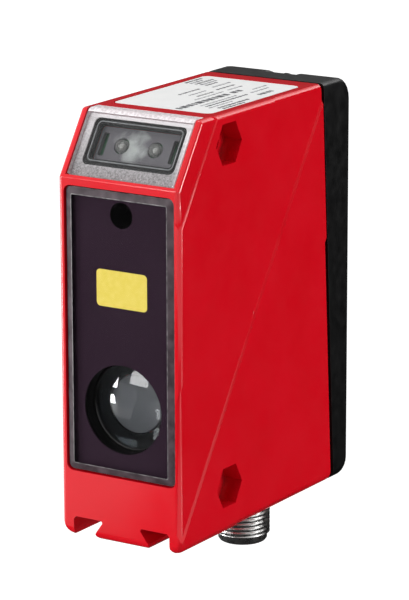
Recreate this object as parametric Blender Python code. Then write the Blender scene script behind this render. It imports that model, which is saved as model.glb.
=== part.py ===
"""Laser displacement sensor: die-cast housing, slanted indicator window, glass front, M12 connector.

The part stands with +Z up and looks along -Y. The origin is the middle of the
underside of the dovetail lug, which is where the sensor is clamped.
All sizes below are millimetres; depths are measured back from the front face.
"""
import math

import bmesh
import bpy
from mathutils import Matrix, Vector

MM = 0.001

# Housing, 30 x 69 x 90 with its rear cover
WIDTH = 30.0
HEIGHT = 90.0
DEPTH = 69.0
FRONT_TO_ORIGIN = 20.0
SLANT_RISE = 13.1
SLANT_DEPTH = 8.8
COVER_DEPTH_TOP = 13.0
COVER_DEPTH_FOOT = 7.8
EDGE_RADIUS = 1.2
FOOT_RADIUS = 2.6
FRONT_FOOT_RADIUS = 1.9
CORNER_RADIUS = 0.8
SIDE_WALL = 2.4
ROOF_WALL = 2.6
FRONT_WALL = 3.0
FLOOR_THICKNESS = 6.6

# Raised bands on the right flank, measured where their front edges meet the top
BAND_RISE = 0.4
BAND_STARTS = (14.4, 58.6)
BAND_WIDTHS = (22.8, 22.7)
BAND_STEP = 0.45

# Clamping bores, with a hex pocket for the nut at the right end of each
BORE_DEPTH = 18.5
BORE_FOOT = 10.5
BORE_DROP = 6.3
BORE_DIAMETER = 5.2
NUT_FLATS = 8.6
NUT_POCKET = 4.2
BOSS_RADIUS = 6.2

# Dovetail lug between two grooves
GROOVE_HEIGHT = 4.4
GROOVE_TO_CONNECTOR = 8.8
GROOVE_FILLET = 0.6
LUG_ROOT = 9.6
LUG_WIDTH = 13.2
LUG_LIP = 0.7
LEG_WIDTH = 3.05
LEG_CHAMFER = 1.2

# Front pane, its seal and the two openings behind it
PANE_SIDE_MARGIN = 1.8
PANE_FOOT = 14.7
PANE_TOP_MARGIN = 1.8
PANE_THICKNESS = 1.0
PANE_CORNER = 1.2
PANE_BEVEL_WIDTH = 1.5
PANE_BEVEL_DEPTH = 0.5
SEAL_THICKNESS = 0.4
SEAL_WIDTH = 1.3
EMITTER_DROP = 5.0
EMITTER_APERTURE = 6.0
RECEIVER_RISE = 14.3
RECEIVER_SIDE_MARGIN = 5.1

# Slanted indicator window, with lengths up the slanted face
WINDOW_SIDE_MARGIN = 2.0
WINDOW_START = 1.0
WINDOW_WRAP = 3.3
WINDOW_THICKNESS = 1.2
GASKET_THICKNESS = 0.6
GASKET_WIDTH = 1.5
GASKET_CORNER = 1.4
GASKET_GROOVE = 0.3
CHAMBER_SIDE_MARGIN = 2.8
CHAMBER_START = 5.1
CHAMBER_LENGTH = 8.4
CHAMBER_CORNER = 0.8
TRAY_THICKNESS = 0.9
TRAY_DEPTH = 0.5
LIGHT_SLOT_WIDTH = 1.4
LIGHT_SLOT_LENGTH = 5.2
LIGHT_SLOT_INSET = 1.6
LED_TO_SLOT = 4.5
LED_DIAMETER = 3.0
LED_LENGTH = 2.2
LED_BOARD_THICKNESS = 1.0

# Type label let into the top
LABEL_SIDE_MARGIN = 3.0
LABEL_TO_WINDOW = 3.8
LABEL_REAR_MARGIN = 4.2
LABEL_THICKNESS = 0.25
LABEL_CORNER = 1.5
LABEL_SINK = 0.05

# Rear cover
COVER_WALL = 2.0
COVER_TOP_RADIUS = 5.0
COVER_FOOT_RADIUS = 3.0
COVER_EDGE_RADIUS = 1.6
NOTCH_WIDTH = 8.4
NOTCH_DEPTH = 1.1
NOTCH_LENGTH = 6.0
NOTCH_SLOPE = 0.8
NOTCH_RIB_WIDTH = 1.6
NOTCH_RIB_HEIGHT = 0.6
REAR_GASKET_THICKNESS = 0.6
REAR_GASKET_INSET = 1.3
SCREW_HEAD_DIAMETER = 3.8
SCREW_HEAD_HEIGHT = 1.6
SCREW_HEAD_SINK = 1.0
SCREW_SHANK_DIAMETER = 2.0
SCREW_LENGTH = 16.0
SCREW_SOCKET = 1.5
SCREW_POST = 4.8
POST_END_WALL = 1.5

# M12 connector
CONNECTOR_FROM_REAR = 21.2
CONNECTOR_THREAD = 12.0
CONNECTOR_TIP = 10.8
CONNECTOR_TIP_LENGTH = 1.9
CONNECTOR_LENGTH = 11.9
CONNECTOR_CHAMFER = 0.4
CONNECTOR_BORE = 8.6
CONNECTOR_SOCKET_DEPTH = 8.5
CONNECTOR_FLANGE = 14.0
CONNECTOR_FLANGE_HEIGHT = 1.6
RING_THICKNESS = 1.0
CARRIER_LIP = 1.0
PIN_DIAMETER = 1.0
PIN_CIRCLE = 5.0
PIN_LENGTH = 6.6
PIN_TAIL = 1.6
PIN_CLEARANCE = 0.25

# Receiver optics
BARREL_WALL = 0.8
BARREL_STOP = 3.6
FILTER_THICKNESS = 1.0
LENS_PLAY = 0.4
LENS_SET_BACK = 5.4
LENS_EDGE = 1.8
LENS_CROWN = 2.4

# Laser optics
TUBE_OUTER = 8.4
TUBE_INNER = 6.6
TUBE_LENGTH = 20.0
TUBE_STOP = 0.6
COLLIMATOR_DIAMETER = 6.0
COLLIMATOR_SET_BACK = 4.0
COLLIMATOR_THICKNESS = 2.2
COLLIMATOR_CROWN = 0.8
DIODE_CAN = 4.6
DIODE_FLANGE = 5.6
DIODE_FLANGE_THICKNESS = 1.2
DIODE_POCKET = 3.4
DIODE_LENGTH = 4.4

# Optics carrier
CARRIER_SET_BACK = 5.0
CARRIER_THICKNESS = 3.0
CARRIER_ARM = 12.4
CARRIER_ARM_THICKNESS = 2.6
OPTICS_FOOT_MARGIN = 1.3
OPTICS_ROOF_MARGIN = 2.2

# Boards and what stands on them
BOARD_THICKNESS = 1.6
SENSOR_BOARD_WIDTH = 17.0
SENSOR_BOARD_REACH = 17.0
SENSOR_CHIP_LENGTH = 12.0
SENSOR_CHIP_WIDTH = 5.0
SENSOR_CHIP_HEIGHT = 1.8
MAIN_BOARD_FRONT_MARGIN = 2.3
MAIN_BOARD_REAR_MARGIN = 4.0
MAIN_BOARD_FOOT = 18.0
MAIN_BOARD_ROOF_MARGIN = 13.0
BOARD_POST = 1.3
BOARD_POST_DIAMETER = 4.4
BOARD_SCREW_INSET = 3.2
BOARD_SCREW_HEAD = 3.0
BOARD_SCREW_HEAD_HEIGHT = 1.2
BOARD_SCREW_HOLE = 1.6
BOARD_SCREW_SOCKET = 1.2
INDUCTOR_SIDE = 6.0
INDUCTOR_HEIGHT = 3.2
CAPACITOR_DIAMETER = 5.0
CAPACITOR_HEIGHT = 5.4
POWER_PITCH = 9.5
POWER_RISE = 12.0
SOCKET_LENGTH = 7.6
SOCKET_WIDTH = 3.2
SOCKET_HEIGHT = 2.2
SOCKET_OVER_RECEIVER = 12.0
PROCESSOR_SIDE = 10.0
PROCESSOR_HEIGHT = 1.4
PROCESSOR_RISE = 38.0
RIBBON_WIDTH = 6.0
RIBBON_THICKNESS = 0.3
RIBBON_BEND = 3.0
RIBBON_LAP = 4.0

# Fits
SEAT_GAP = 0.3
PANE_GAP = 0.3
OVERCUT = 2.0
ARC_STEPS = 4
ROUND_STEPS = 32
BEND_BULGE = 0.28


def clear_scene():
    for item in list(bpy.data.objects):
        bpy.data.objects.remove(item, do_unlink=True)


def material(name, colour, roughness, metallic=0.0, transmission=0.0):
    made = bpy.data.materials.new(name)
    made.use_nodes = True
    shader = made.node_tree.nodes["Principled BSDF"]
    shader.inputs["Base Color"].default_value = (*colour, 1.0)
    shader.inputs["Roughness"].default_value = roughness
    shader.inputs["Metallic"].default_value = metallic
    shader.inputs["Transmission Weight"].default_value = transmission
    made.diffuse_color = (*colour, 1.0)
    return made


def finish_mesh(name, bm, mat=None, smooth_angle=30.0):
    """Turns a bmesh in millimetres into a named object in metres."""
    bmesh.ops.recalc_face_normals(bm, faces=bm.faces)
    bmesh.ops.transform(bm, matrix=Matrix.Scale(MM, 4), verts=bm.verts)
    mesh = bpy.data.meshes.new(name)
    bm.to_mesh(mesh)
    bm.free()
    mesh.shade_smooth()
    mesh.set_sharp_from_angle(angle=math.radians(smooth_angle))
    made = bpy.data.objects.new(name, mesh)
    if mat:
        mesh.materials.append(mat)
    bpy.context.scene.collection.objects.link(made)
    return made


def bridge_rings(bm, rings, closed_ends=True):
    """Skins a list of point loops of equal length, each a list of Vectors."""
    loops = [[bm.verts.new(point) for point in ring] for ring in rings]
    count = len(loops[0])
    for lower, upper in zip(loops, loops[1:]):
        for i in range(count):
            j = (i + 1) % count
            bm.faces.new((lower[i], lower[j], upper[j], upper[i]))
    if closed_ends:
        bm.faces.new(list(reversed(loops[0])))
        bm.faces.new(loops[-1])
    return loops


def depth(value):
    """Y of a point that lies this far behind the front face."""
    return value - FRONT_TO_ORIGIN


def prism(name, outline, axis, start, end, mat=None):
    """Extrudes a flat outline along an axis.

    Outline pairs are (y, z) along X, (x, z) along Y and (x, y) along Z.
    """
    place = {
        "X": lambda a, b, t: Vector((t, a, b)),
        "Y": lambda a, b, t: Vector((a, t, b)),
        "Z": lambda a, b, t: Vector((a, b, t)),
    }[axis]
    bm = bmesh.new()
    bridge_rings(bm, [[place(a, b, t) for a, b in outline] for t in (start, end)])
    return finish_mesh(name, bm, mat)


def turned(name, profile, matrix, mat=None, steps=ROUND_STEPS):
    """Revolves a closed (radius, height) profile about its own Z and then places it."""
    bm = bmesh.new()
    loops = []
    for k in range(steps):
        turn = 2 * math.pi * k / steps
        c, s = math.cos(turn), math.sin(turn)
        loop = []
        for radius, height in profile:
            if radius < 1e-6:
                loop.append(None)
            else:
                loop.append(bm.verts.new((radius * c, radius * s, height)))
        loops.append(loop)
    poles = {i: bm.verts.new((0, 0, profile[i][1])) for i, v in enumerate(loops[0]) if v is None}
    size = len(profile)
    for k in range(steps):
        here, there = loops[k], loops[(k + 1) % steps]
        for i in range(size):
            j = (i + 1) % size
            ring = []
            for vert in (here[i] or poles.get(i), here[j] or poles.get(j),
                         there[j] or poles.get(j), there[i] or poles.get(i)):
                if vert not in ring:
                    ring.append(vert)
            if len(ring) > 2:
                bm.faces.new(ring)
    bmesh.ops.transform(bm, matrix=matrix, verts=bm.verts)
    return finish_mesh(name, bm, mat)


def facing(direction, x, y, z):
    """Matrix that carries local +Z to a world direction and the origin to a point."""
    turn = Vector((0, 0, 1)).rotation_difference(Vector(direction)).to_matrix().to_4x4()
    return Matrix.Translation((x, y, z)) @ turn


def along_y(x, y, z):
    """Local +Z points backwards, local +X stays +X."""
    return Matrix.Translation((x, y, z)) @ Matrix.Rotation(math.radians(-90), 4, "X")


def rod(radius, length):
    return [(0, 0), (radius, 0), (radius, length), (0, length)]


def rectangle(a0, a1, b0, b1):
    return [(a0, b0), (a1, b0), (a1, b1), (a0, b1)]


def rounded_rectangle(a0, a1, b0, b1, radius, steps=ARC_STEPS):
    points = []
    for a, b, start in ((a1, b1, 0), (a0, b1, 90), (a0, b0, 180), (a1, b0, 270)):
        ca = a - radius if start in (0, 270) else a + radius
        cb = b - radius if start in (0, 90) else b + radius
        for k in range(steps + 1):
            turn = math.radians(start + 90 * k / steps)
            points.append((ca + radius * math.cos(turn), cb + radius * math.sin(turn)))
    return points


def circle(a, b, radius, steps=ROUND_STEPS, turn=0.0):
    return [
        (a + radius * math.cos(turn + 2 * math.pi * k / steps),
         b + radius * math.sin(turn + 2 * math.pi * k / steps))
        for k in range(steps)
    ]


def hexagon(a, b, across_flats):
    """Two flats level, two points fore and aft."""
    return circle(a, b, across_flats / math.sqrt(3), steps=6)


def combine(target, tool, operation="DIFFERENCE"):
    step = target.modifiers.new(tool.name, "BOOLEAN")
    step.operation = operation
    step.object = tool
    step.solver = "EXACT"
    tool.hide_render = True
    tool.display_type = "WIRE"
    return target


def offset_corners(corners, insets):
    """Moves each side of a convex outline inwards by its own distance."""
    count = len(corners)
    lines = []
    for i in range(count):
        (ax, ay), (bx, by) = corners[i], corners[(i + 1) % count]
        length = math.hypot(bx - ax, by - ay)
        nx, ny = -(by - ay) / length, (bx - ax) / length
        lines.append((nx, ny, nx * ax + ny * ay + insets[i]))
    moved = []
    for i in range(count):
        (a1, b1, c1), (a2, b2, c2) = lines[i - 1], lines[i]
        det = a1 * b2 - a2 * b1
        moved.append(((c1 * b2 - c2 * b1) / det, (a1 * c2 - a2 * c1) / det))
    return moved


def fillet_corners(corners, radii, steps):
    """Replaces each corner of a convex outline with an arc, or keeps it where steps is 0."""
    count = len(corners)
    points = []
    for i in range(count):
        corner = Vector(corners[i])
        if steps[i] == 0:
            points.append(tuple(corner))
            continue
        before = (Vector(corners[i - 1]) - corner).normalized()
        after = (Vector(corners[(i + 1) % count]) - corner).normalized()
        half = before.angle(after) / 2
        middle = corner + (before + after).normalized() * (radii[i] / math.sin(half))
        start = corner + before * (radii[i] / math.tan(half)) - middle
        end = corner + after * (radii[i] / math.tan(half)) - middle
        sweep = start.angle(end)
        for k in range(steps[i] + 1):
            t = k / steps[i]
            bend = start * (math.sin((1 - t) * sweep) / math.sin(sweep))
            bend = bend + end * (math.sin(t * sweep) / math.sin(sweep))
            points.append(tuple(middle + bend))
    return points


def left_face():
    return -WIDTH / 2


def right_face():
    """The right flank between the raised bands."""
    return WIDTH / 2 - BAND_RISE


def parting_top():
    return DEPTH - COVER_DEPTH_TOP


def parting_foot():
    return DEPTH - COVER_DEPTH_FOOT


def slant_start():
    return HEIGHT - SLANT_RISE


def bore_heights():
    return BORE_FOOT, HEIGHT - BORE_DROP


def pane_half_width():
    return WIDTH / 2 - PANE_SIDE_MARGIN


def pane_top():
    return slant_start() - PANE_TOP_MARGIN


def emitter_height():
    return pane_top() - EMITTER_DROP


def receiver_height():
    return PANE_FOOT + RECEIVER_RISE


def receiver_aperture():
    return WIDTH - 2 * RECEIVER_SIDE_MARGIN


def barrel_outer():
    return receiver_aperture() + 2 * BARREL_WALL


def window_half_width():
    return WIDTH / 2 - WINDOW_SIDE_MARGIN


def chamber_half_width():
    return window_half_width() - CHAMBER_SIDE_MARGIN


def connector_depth():
    return DEPTH - CONNECTOR_FROM_REAR


def label_start():
    return SLANT_DEPTH + WINDOW_WRAP + LABEL_TO_WINDOW


def label_end():
    return parting_top() - LABEL_REAR_MARGIN


def rounding(radius, inwards):
    """How far a face of a rounded edge has drawn back at this distance in from the other face."""
    if inwards >= radius:
        return 0.0
    return radius - math.sqrt(radius * radius - (radius - inwards) ** 2)


def shell_rings(corners, edge_radii, corner_radii, corner_steps, right):
    """Side-to-side rings of a body whose side outline has rounded edges along both flanks."""
    biggest = max(edge_radii)
    stations = sorted({round(r * (1 - math.sin(math.radians(a))), 4)
                       for r in edge_radii if r > 0 for a in (0, 22.5, 45, 67.5, 90)} | {0.0, biggest})
    rings = []

    def ring(x, inwards):
        moved = offset_corners(corners, [rounding(r, inwards) for r in edge_radii])
        shrink = rounding(EDGE_RADIUS, min(inwards, EDGE_RADIUS))
        radii = [max(0.25 * r, r - shrink) for r in corner_radii]
        return [Vector((x, depth(a), b)) for a, b in fillet_corners(moved, radii, corner_steps)]

    for inwards in stations:
        rings.append(ring(left_face() + inwards, inwards))
    for inwards in reversed(stations):
        rings.append(ring(right - inwards, inwards))
    return rings


def housing_corners():
    """Side outline of the cast body as (depth, height), anticlockwise seen from +X."""
    return [
        (0.0, 0.0),
        (parting_foot(), 0.0),
        (parting_top(), HEIGHT),
        (SLANT_DEPTH, HEIGHT),
        (0.0, slant_start()),
    ]


def housing_body(name, right, mat=None):
    rings = shell_rings(
        housing_corners(),
        edge_radii=[FOOT_RADIUS, 0.0, EDGE_RADIUS, EDGE_RADIUS, EDGE_RADIUS],
        corner_radii=[FRONT_FOOT_RADIUS, 0.0, 0.0, CORNER_RADIUS, CORNER_RADIUS],
        corner_steps=[ARC_STEPS, 0, 0, 3, 3],
        right=right,
    )
    bm = bmesh.new()
    bridge_rings(bm, rings)
    return finish_mesh(name, bm, mat)


SLOPE = math.atan2(SLANT_RISE, SLANT_DEPTH)


def slant_frame():
    """Local X is world X, local Y runs up the slanted face and local Z points out of it."""
    up = Vector((0, math.cos(SLOPE), math.sin(SLOPE)))
    out = Vector((0, -math.sin(SLOPE), math.cos(SLOPE)))
    turn = Matrix((Vector((1, 0, 0)), up, out)).transposed().to_4x4()
    return Matrix.Translation((0, depth(0), slant_start())) @ turn


def slant_prism(name, outline, low, high, mat=None):
    """Extrudes an outline drawn on the slanted face between two heights above it."""
    bm = bmesh.new()
    bridge_rings(bm, [[Vector((a, b, t)) for a, b in outline] for t in (low, high)])
    bmesh.ops.transform(bm, matrix=slant_frame(), verts=bm.verts)
    return finish_mesh(name, bm, mat)


def band_slab(name, start, width):
    """Wedge-sided slab that a raised band is cut from, in line with the slanted face."""
    run = 1 / math.tan(SLOPE)
    low, high = -OVERCUT, HEIGHT + OVERCUT

    def section(x, widen):
        along = widen / math.sin(SLOPE)
        front = [start - along - (HEIGHT - z) * run for z in (low, high)]
        back = [start + width + along - (HEIGHT - z) * run for z in (low, high)]
        return [Vector((x, depth(front[0]), low)), Vector((x, depth(back[0]), low)),
                Vector((x, depth(back[1]), high)), Vector((x, depth(front[1]), high))]

    base = right_face()
    lean = BAND_STEP / BAND_RISE
    bm = bmesh.new()
    bridge_rings(bm, [section(base - OVERCUT, OVERCUT * lean),
                      section(base + BAND_RISE + OVERCUT, -(BAND_RISE + OVERCUT) * lean)])
    return finish_mesh(name, bm)


def add_bands(housing):
    for number, (start, width) in enumerate(zip(BAND_STARTS, BAND_WIDTHS), 1):
        band = housing_body(f"band_{number}_body", WIDTH / 2)
        combine(band, band_slab(f"band_{number}_slab", start, width), "INTERSECT")
        combine(housing, band, "UNION")


def groove_length():
    return connector_depth() - GROOVE_TO_CONNECTOR


def cut_grooves(housing):
    """The two grooves leave a dovetail lug between them."""
    leg = WIDTH / 2 - LEG_WIDTH
    root, wide = LUG_ROOT / 2, LUG_WIDTH / 2
    soft = GROOVE_FILLET
    half = [
        (leg + soft, -OVERCUT),
        (leg + soft, 0.0),
        (leg, LEG_CHAMFER),
        (leg, GROOVE_HEIGHT - soft),
        (leg - soft, GROOVE_HEIGHT),
        (root + soft / 2, GROOVE_HEIGHT),
        (root, GROOVE_HEIGHT - soft / 2),
        (root, GROOVE_HEIGHT - soft),
        (wide, LUG_LIP + soft),
        (wide, LUG_LIP),
        (wide - LUG_LIP, 0.0),
        (wide - LUG_LIP, -OVERCUT),
    ]
    for side, sign in (("left", -1), ("right", 1)):
        outline = [(sign * a, b) for a, b in half]
        groove = prism(f"groove_{side}_cutter", outline, "Y", depth(-OVERCUT), depth(groove_length()))
        combine(housing, groove)


def cut_front(housing):
    """Seat of the bevelled glass pane and the two openings behind it."""
    seat_half = pane_half_width() + PANE_GAP
    outline = rounded_rectangle(-seat_half, seat_half, PANE_FOOT - PANE_GAP, pane_top() + PANE_GAP,
                                PANE_CORNER + PANE_GAP)
    combine(housing, prism("pane_seat_cutter", outline, "Y", depth(-OVERCUT), depth(pane_seat_depth())))
    for name, height, across in (("receiver", receiver_height(), barrel_outer() + 2 * SEAT_GAP),
                                 ("emitter", emitter_height(), EMITTER_APERTURE)):
        hole = prism(f"{name}_opening_cutter", circle(0, height, across / 2), "Y",
                     depth(0), depth(FRONT_WALL + OVERCUT))
        combine(housing, hole)


def pane_seat_depth():
    return PANE_THICKNESS + SEAT_GAP + SEAL_THICKNESS + SEAT_GAP


def window_seat_depth():
    return WINDOW_THICKNESS + SEAT_GAP + GASKET_THICKNESS + SEAT_GAP


def tray_height():
    """Top of the lamp tray, measured out from the slanted face."""
    return -window_seat_depth() - TRAY_DEPTH


def window_profile(below_outer, below_inner, start, wrap):
    """Side section of the window: up the slanted face, round the edge and onto the top."""

    def strip(below):
        corner_depth = SLANT_DEPTH + below * math.tan(SLOPE / 2)
        slope_point = Vector((start * math.cos(SLOPE) + below * math.sin(SLOPE),
                              slant_start() + start * math.sin(SLOPE) - below * math.cos(SLOPE)))
        corner = Vector((corner_depth, HEIGHT - below))
        top = Vector((SLANT_DEPTH + wrap, HEIGHT - below))
        return slope_point, corner, top

    points = []
    for below, turn in ((below_outer, 1), (below_inner, -1)):
        low, corner, top = strip(below)
        to_low, to_top = (low - corner).normalized(), (top - corner).normalized()
        arc = [corner + to_low * CORNER_RADIUS, corner + (to_low + to_top) * CORNER_RADIUS * BEND_BULGE,
               corner + to_top * CORNER_RADIUS]
        path = [low, *arc, top]
        points += path if turn > 0 else list(reversed(path))
    return [(depth(a), b) for a, b in points]


def cut_window(housing):
    """Seat of the clear window and the lamp chamber under it."""
    half = window_half_width() + PANE_GAP
    seat = window_profile(-OVERCUT, window_seat_depth(), WINDOW_START - PANE_GAP, WINDOW_WRAP + PANE_GAP)
    combine(housing, prism("window_seat_cutter", seat, "X", -half, half))
    side = chamber_half_width()
    chamber = rounded_rectangle(-side, side, CHAMBER_START, CHAMBER_START + CHAMBER_LENGTH, CHAMBER_CORNER)
    floor = tray_height() - TRAY_THICKNESS - SEAT_GAP - LED_BOARD_THICKNESS - SEAT_GAP
    combine(housing, slant_prism("chamber_cutter", chamber, floor, 0.0))


def cut_label_seat(housing):
    half = WIDTH / 2 - LABEL_SIDE_MARGIN + PANE_GAP
    seat = rounded_rectangle(-half, half, depth(label_start() - PANE_GAP), depth(label_end() + PANE_GAP),
                             LABEL_CORNER + PANE_GAP)
    floor = HEIGHT - LABEL_SINK - LABEL_THICKNESS - SEAT_GAP
    combine(housing, prism("label_seat_cutter", seat, "Z", floor, HEIGHT + OVERCUT))


def inner_left():
    return left_face() + SIDE_WALL


def inner_right():
    return right_face() - SIDE_WALL


def optics_foot():
    return receiver_height() - barrel_outer() / 2 - OPTICS_FOOT_MARGIN


def optics_roof():
    return emitter_height() + TUBE_OUTER / 2 + OPTICS_ROOF_MARGIN


def rear_space_front():
    return BORE_DEPTH + BOSS_RADIUS


def post_start():
    return cover_screw_tip() - SEAT_GAP - POST_END_WALL


def cover_screw_places():
    """Middles of the four screw posts: two above the connector's flange and two under the roof."""
    half = SCREW_POST / 2
    foot = flange_height() + CONNECTOR_FLANGE_HEIGHT + SEAT_GAP + half
    for x in (inner_left() + half, inner_right() - half):
        for z in (foot, HEIGHT - ROOF_WALL - half):
            yield x, z


def post_space():
    """Section of the rear space where the screw posts stand out of its side walls."""
    post = SCREW_POST
    left, right = inner_left(), inner_right()
    foot = min(z for _, z in cover_screw_places()) - post / 2
    roof = HEIGHT - ROOF_WALL
    return [
        (left, FLOOR_THICKNESS),
        (right, FLOOR_THICKNESS),
        (right, foot),
        (right - post, foot),
        (right - post, foot + post),
        (right, foot + post),
        (right, roof - post),
        (right - post, roof - post),
        (right - post, roof),
        (left + post, roof),
        (left + post, roof - post),
        (left, roof - post),
        (left, foot + post),
        (left + post, foot + post),
        (left + post, foot),
        (left, foot),
    ]


def cut_cavity(housing):
    """A front chamber for the optics and a taller rear one for the boards and the connector."""
    left, right = inner_left(), inner_right()
    front = rectangle(depth(FRONT_WALL), depth(rear_space_front() + OVERCUT), optics_foot(), optics_roof())
    combine(housing, prism("optics_space_cutter", front, "X", left, right))
    rear = rectangle(depth(rear_space_front()), depth(post_start()), FLOOR_THICKNESS, HEIGHT - ROOF_WALL)
    combine(housing, prism("board_space_cutter", rear, "X", left, right))
    combine(housing, prism("post_space_cutter", post_space(), "Y", depth(post_start() - OVERCUT),
                           depth(parting_foot() + OVERCUT)))


def add_board_posts(housing):
    """Short cast posts on the left wall that carry the main board."""
    for number, (y, z) in enumerate(board_screw_places(), 1):
        post = prism(f"board_post_{number}_body", circle(y, z, BOARD_POST_DIAMETER / 2, 20), "X",
                     inner_left() - SIDE_WALL / 2, inner_left() + BOARD_POST)
        combine(housing, post, "UNION")
        hole = prism(f"board_post_{number}_cutter", circle(y, z, BOARD_SCREW_HOLE / 2, 12), "X",
                     inner_left() - SIDE_WALL / 3, inner_left() + BOARD_POST + OVERCUT)
        combine(housing, hole)


def cut_bores(housing):
    for number, height in enumerate(bore_heights(), 1):
        bore = prism(f"bore_{number}_cutter", circle(depth(BORE_DEPTH), height, BORE_DIAMETER / 2, 24), "X",
                     left_face() - OVERCUT, WIDTH / 2 + OVERCUT)
        combine(housing, bore)
        pocket = prism(f"nut_pocket_{number}_cutter", hexagon(depth(BORE_DEPTH), height, NUT_FLATS), "X",
                       WIDTH / 2 - NUT_POCKET, WIDTH / 2 + OVERCUT)
        combine(housing, pocket)


def cut_connector_hole(housing):
    hole = prism("connector_hole_cutter",
                 circle(0, depth(connector_depth()), CONNECTOR_THREAD / 2 + SEAT_GAP), "Z",
                 -OVERCUT, FLOOR_THICKNESS + OVERCUT)
    combine(housing, hole)


def parting_depth(height):
    return parting_foot() + (parting_top() - parting_foot()) * height / HEIGHT


def cut_cover_screw_holes(housing):
    for number, (x, z) in enumerate(cover_screw_places(), 1):
        end = cover_screw_tip() - SEAT_GAP
        hole = prism(f"cover_screw_hole_{number}_cutter",
                     circle(x, z, SCREW_SHANK_DIAMETER / 2 + SEAT_GAP, 16), "Y",
                     depth(end), depth(parting_depth(z) + OVERCUT))
        combine(housing, hole)


def make_housing():
    red = material("red_enamel", (0.60, 0.008, 0.016), 0.32)
    housing = housing_body("housing", right_face(), red)
    add_bands(housing)
    cut_grooves(housing)
    cut_front(housing)
    cut_window(housing)
    cut_label_seat(housing)
    cut_cavity(housing)
    add_board_posts(housing)
    cut_bores(housing)
    cut_connector_hole(housing)
    cut_cover_screw_holes(housing)


def frame_of(name, outer, inner, axis, start, end, mat):
    """A flat frame: the outer outline with the inner one cut out."""
    made = prism(name, outer, axis, start, end, mat)
    hole = prism(f"{name}_cutter", inner, axis, start - OVERCUT, end + OVERCUT)
    return combine(made, hole)


def make_front_pane():
    glass = material("pane_glass", (0.20, 0.17, 0.19), 0.03, transmission=0.6)
    foam = material("black_foam", (0.02, 0.02, 0.02), 0.8)
    half = pane_half_width()
    outline = rounded_rectangle(-half, half, PANE_FOOT, pane_top(), PANE_CORNER)
    bevel = PANE_BEVEL_WIDTH
    face = rounded_rectangle(-half + bevel, half - bevel, PANE_FOOT + bevel, pane_top() - bevel,
                             PANE_CORNER / 3)
    bm = bmesh.new()
    bridge_rings(bm, [[Vector((x, depth(back), z)) for x, z in ring] for ring, back in (
        (face, 0.0), (outline, PANE_BEVEL_DEPTH), (outline, PANE_THICKNESS))])
    finish_mesh("front_glass", bm, glass)
    inner_half = half - SEAL_WIDTH
    inner = rounded_rectangle(-inner_half, inner_half, PANE_FOOT + SEAL_WIDTH, pane_top() - SEAL_WIDTH,
                              PANE_CORNER / 2)
    start = PANE_THICKNESS + SEAT_GAP
    frame_of("front_seal", outline, inner, "Y", depth(start), depth(start + SEAL_THICKNESS), foam)


def led_reach():
    """How far each lamp stands from the middle of the tray."""
    return chamber_half_width() - LIGHT_SLOT_INSET - LED_TO_SLOT


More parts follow.
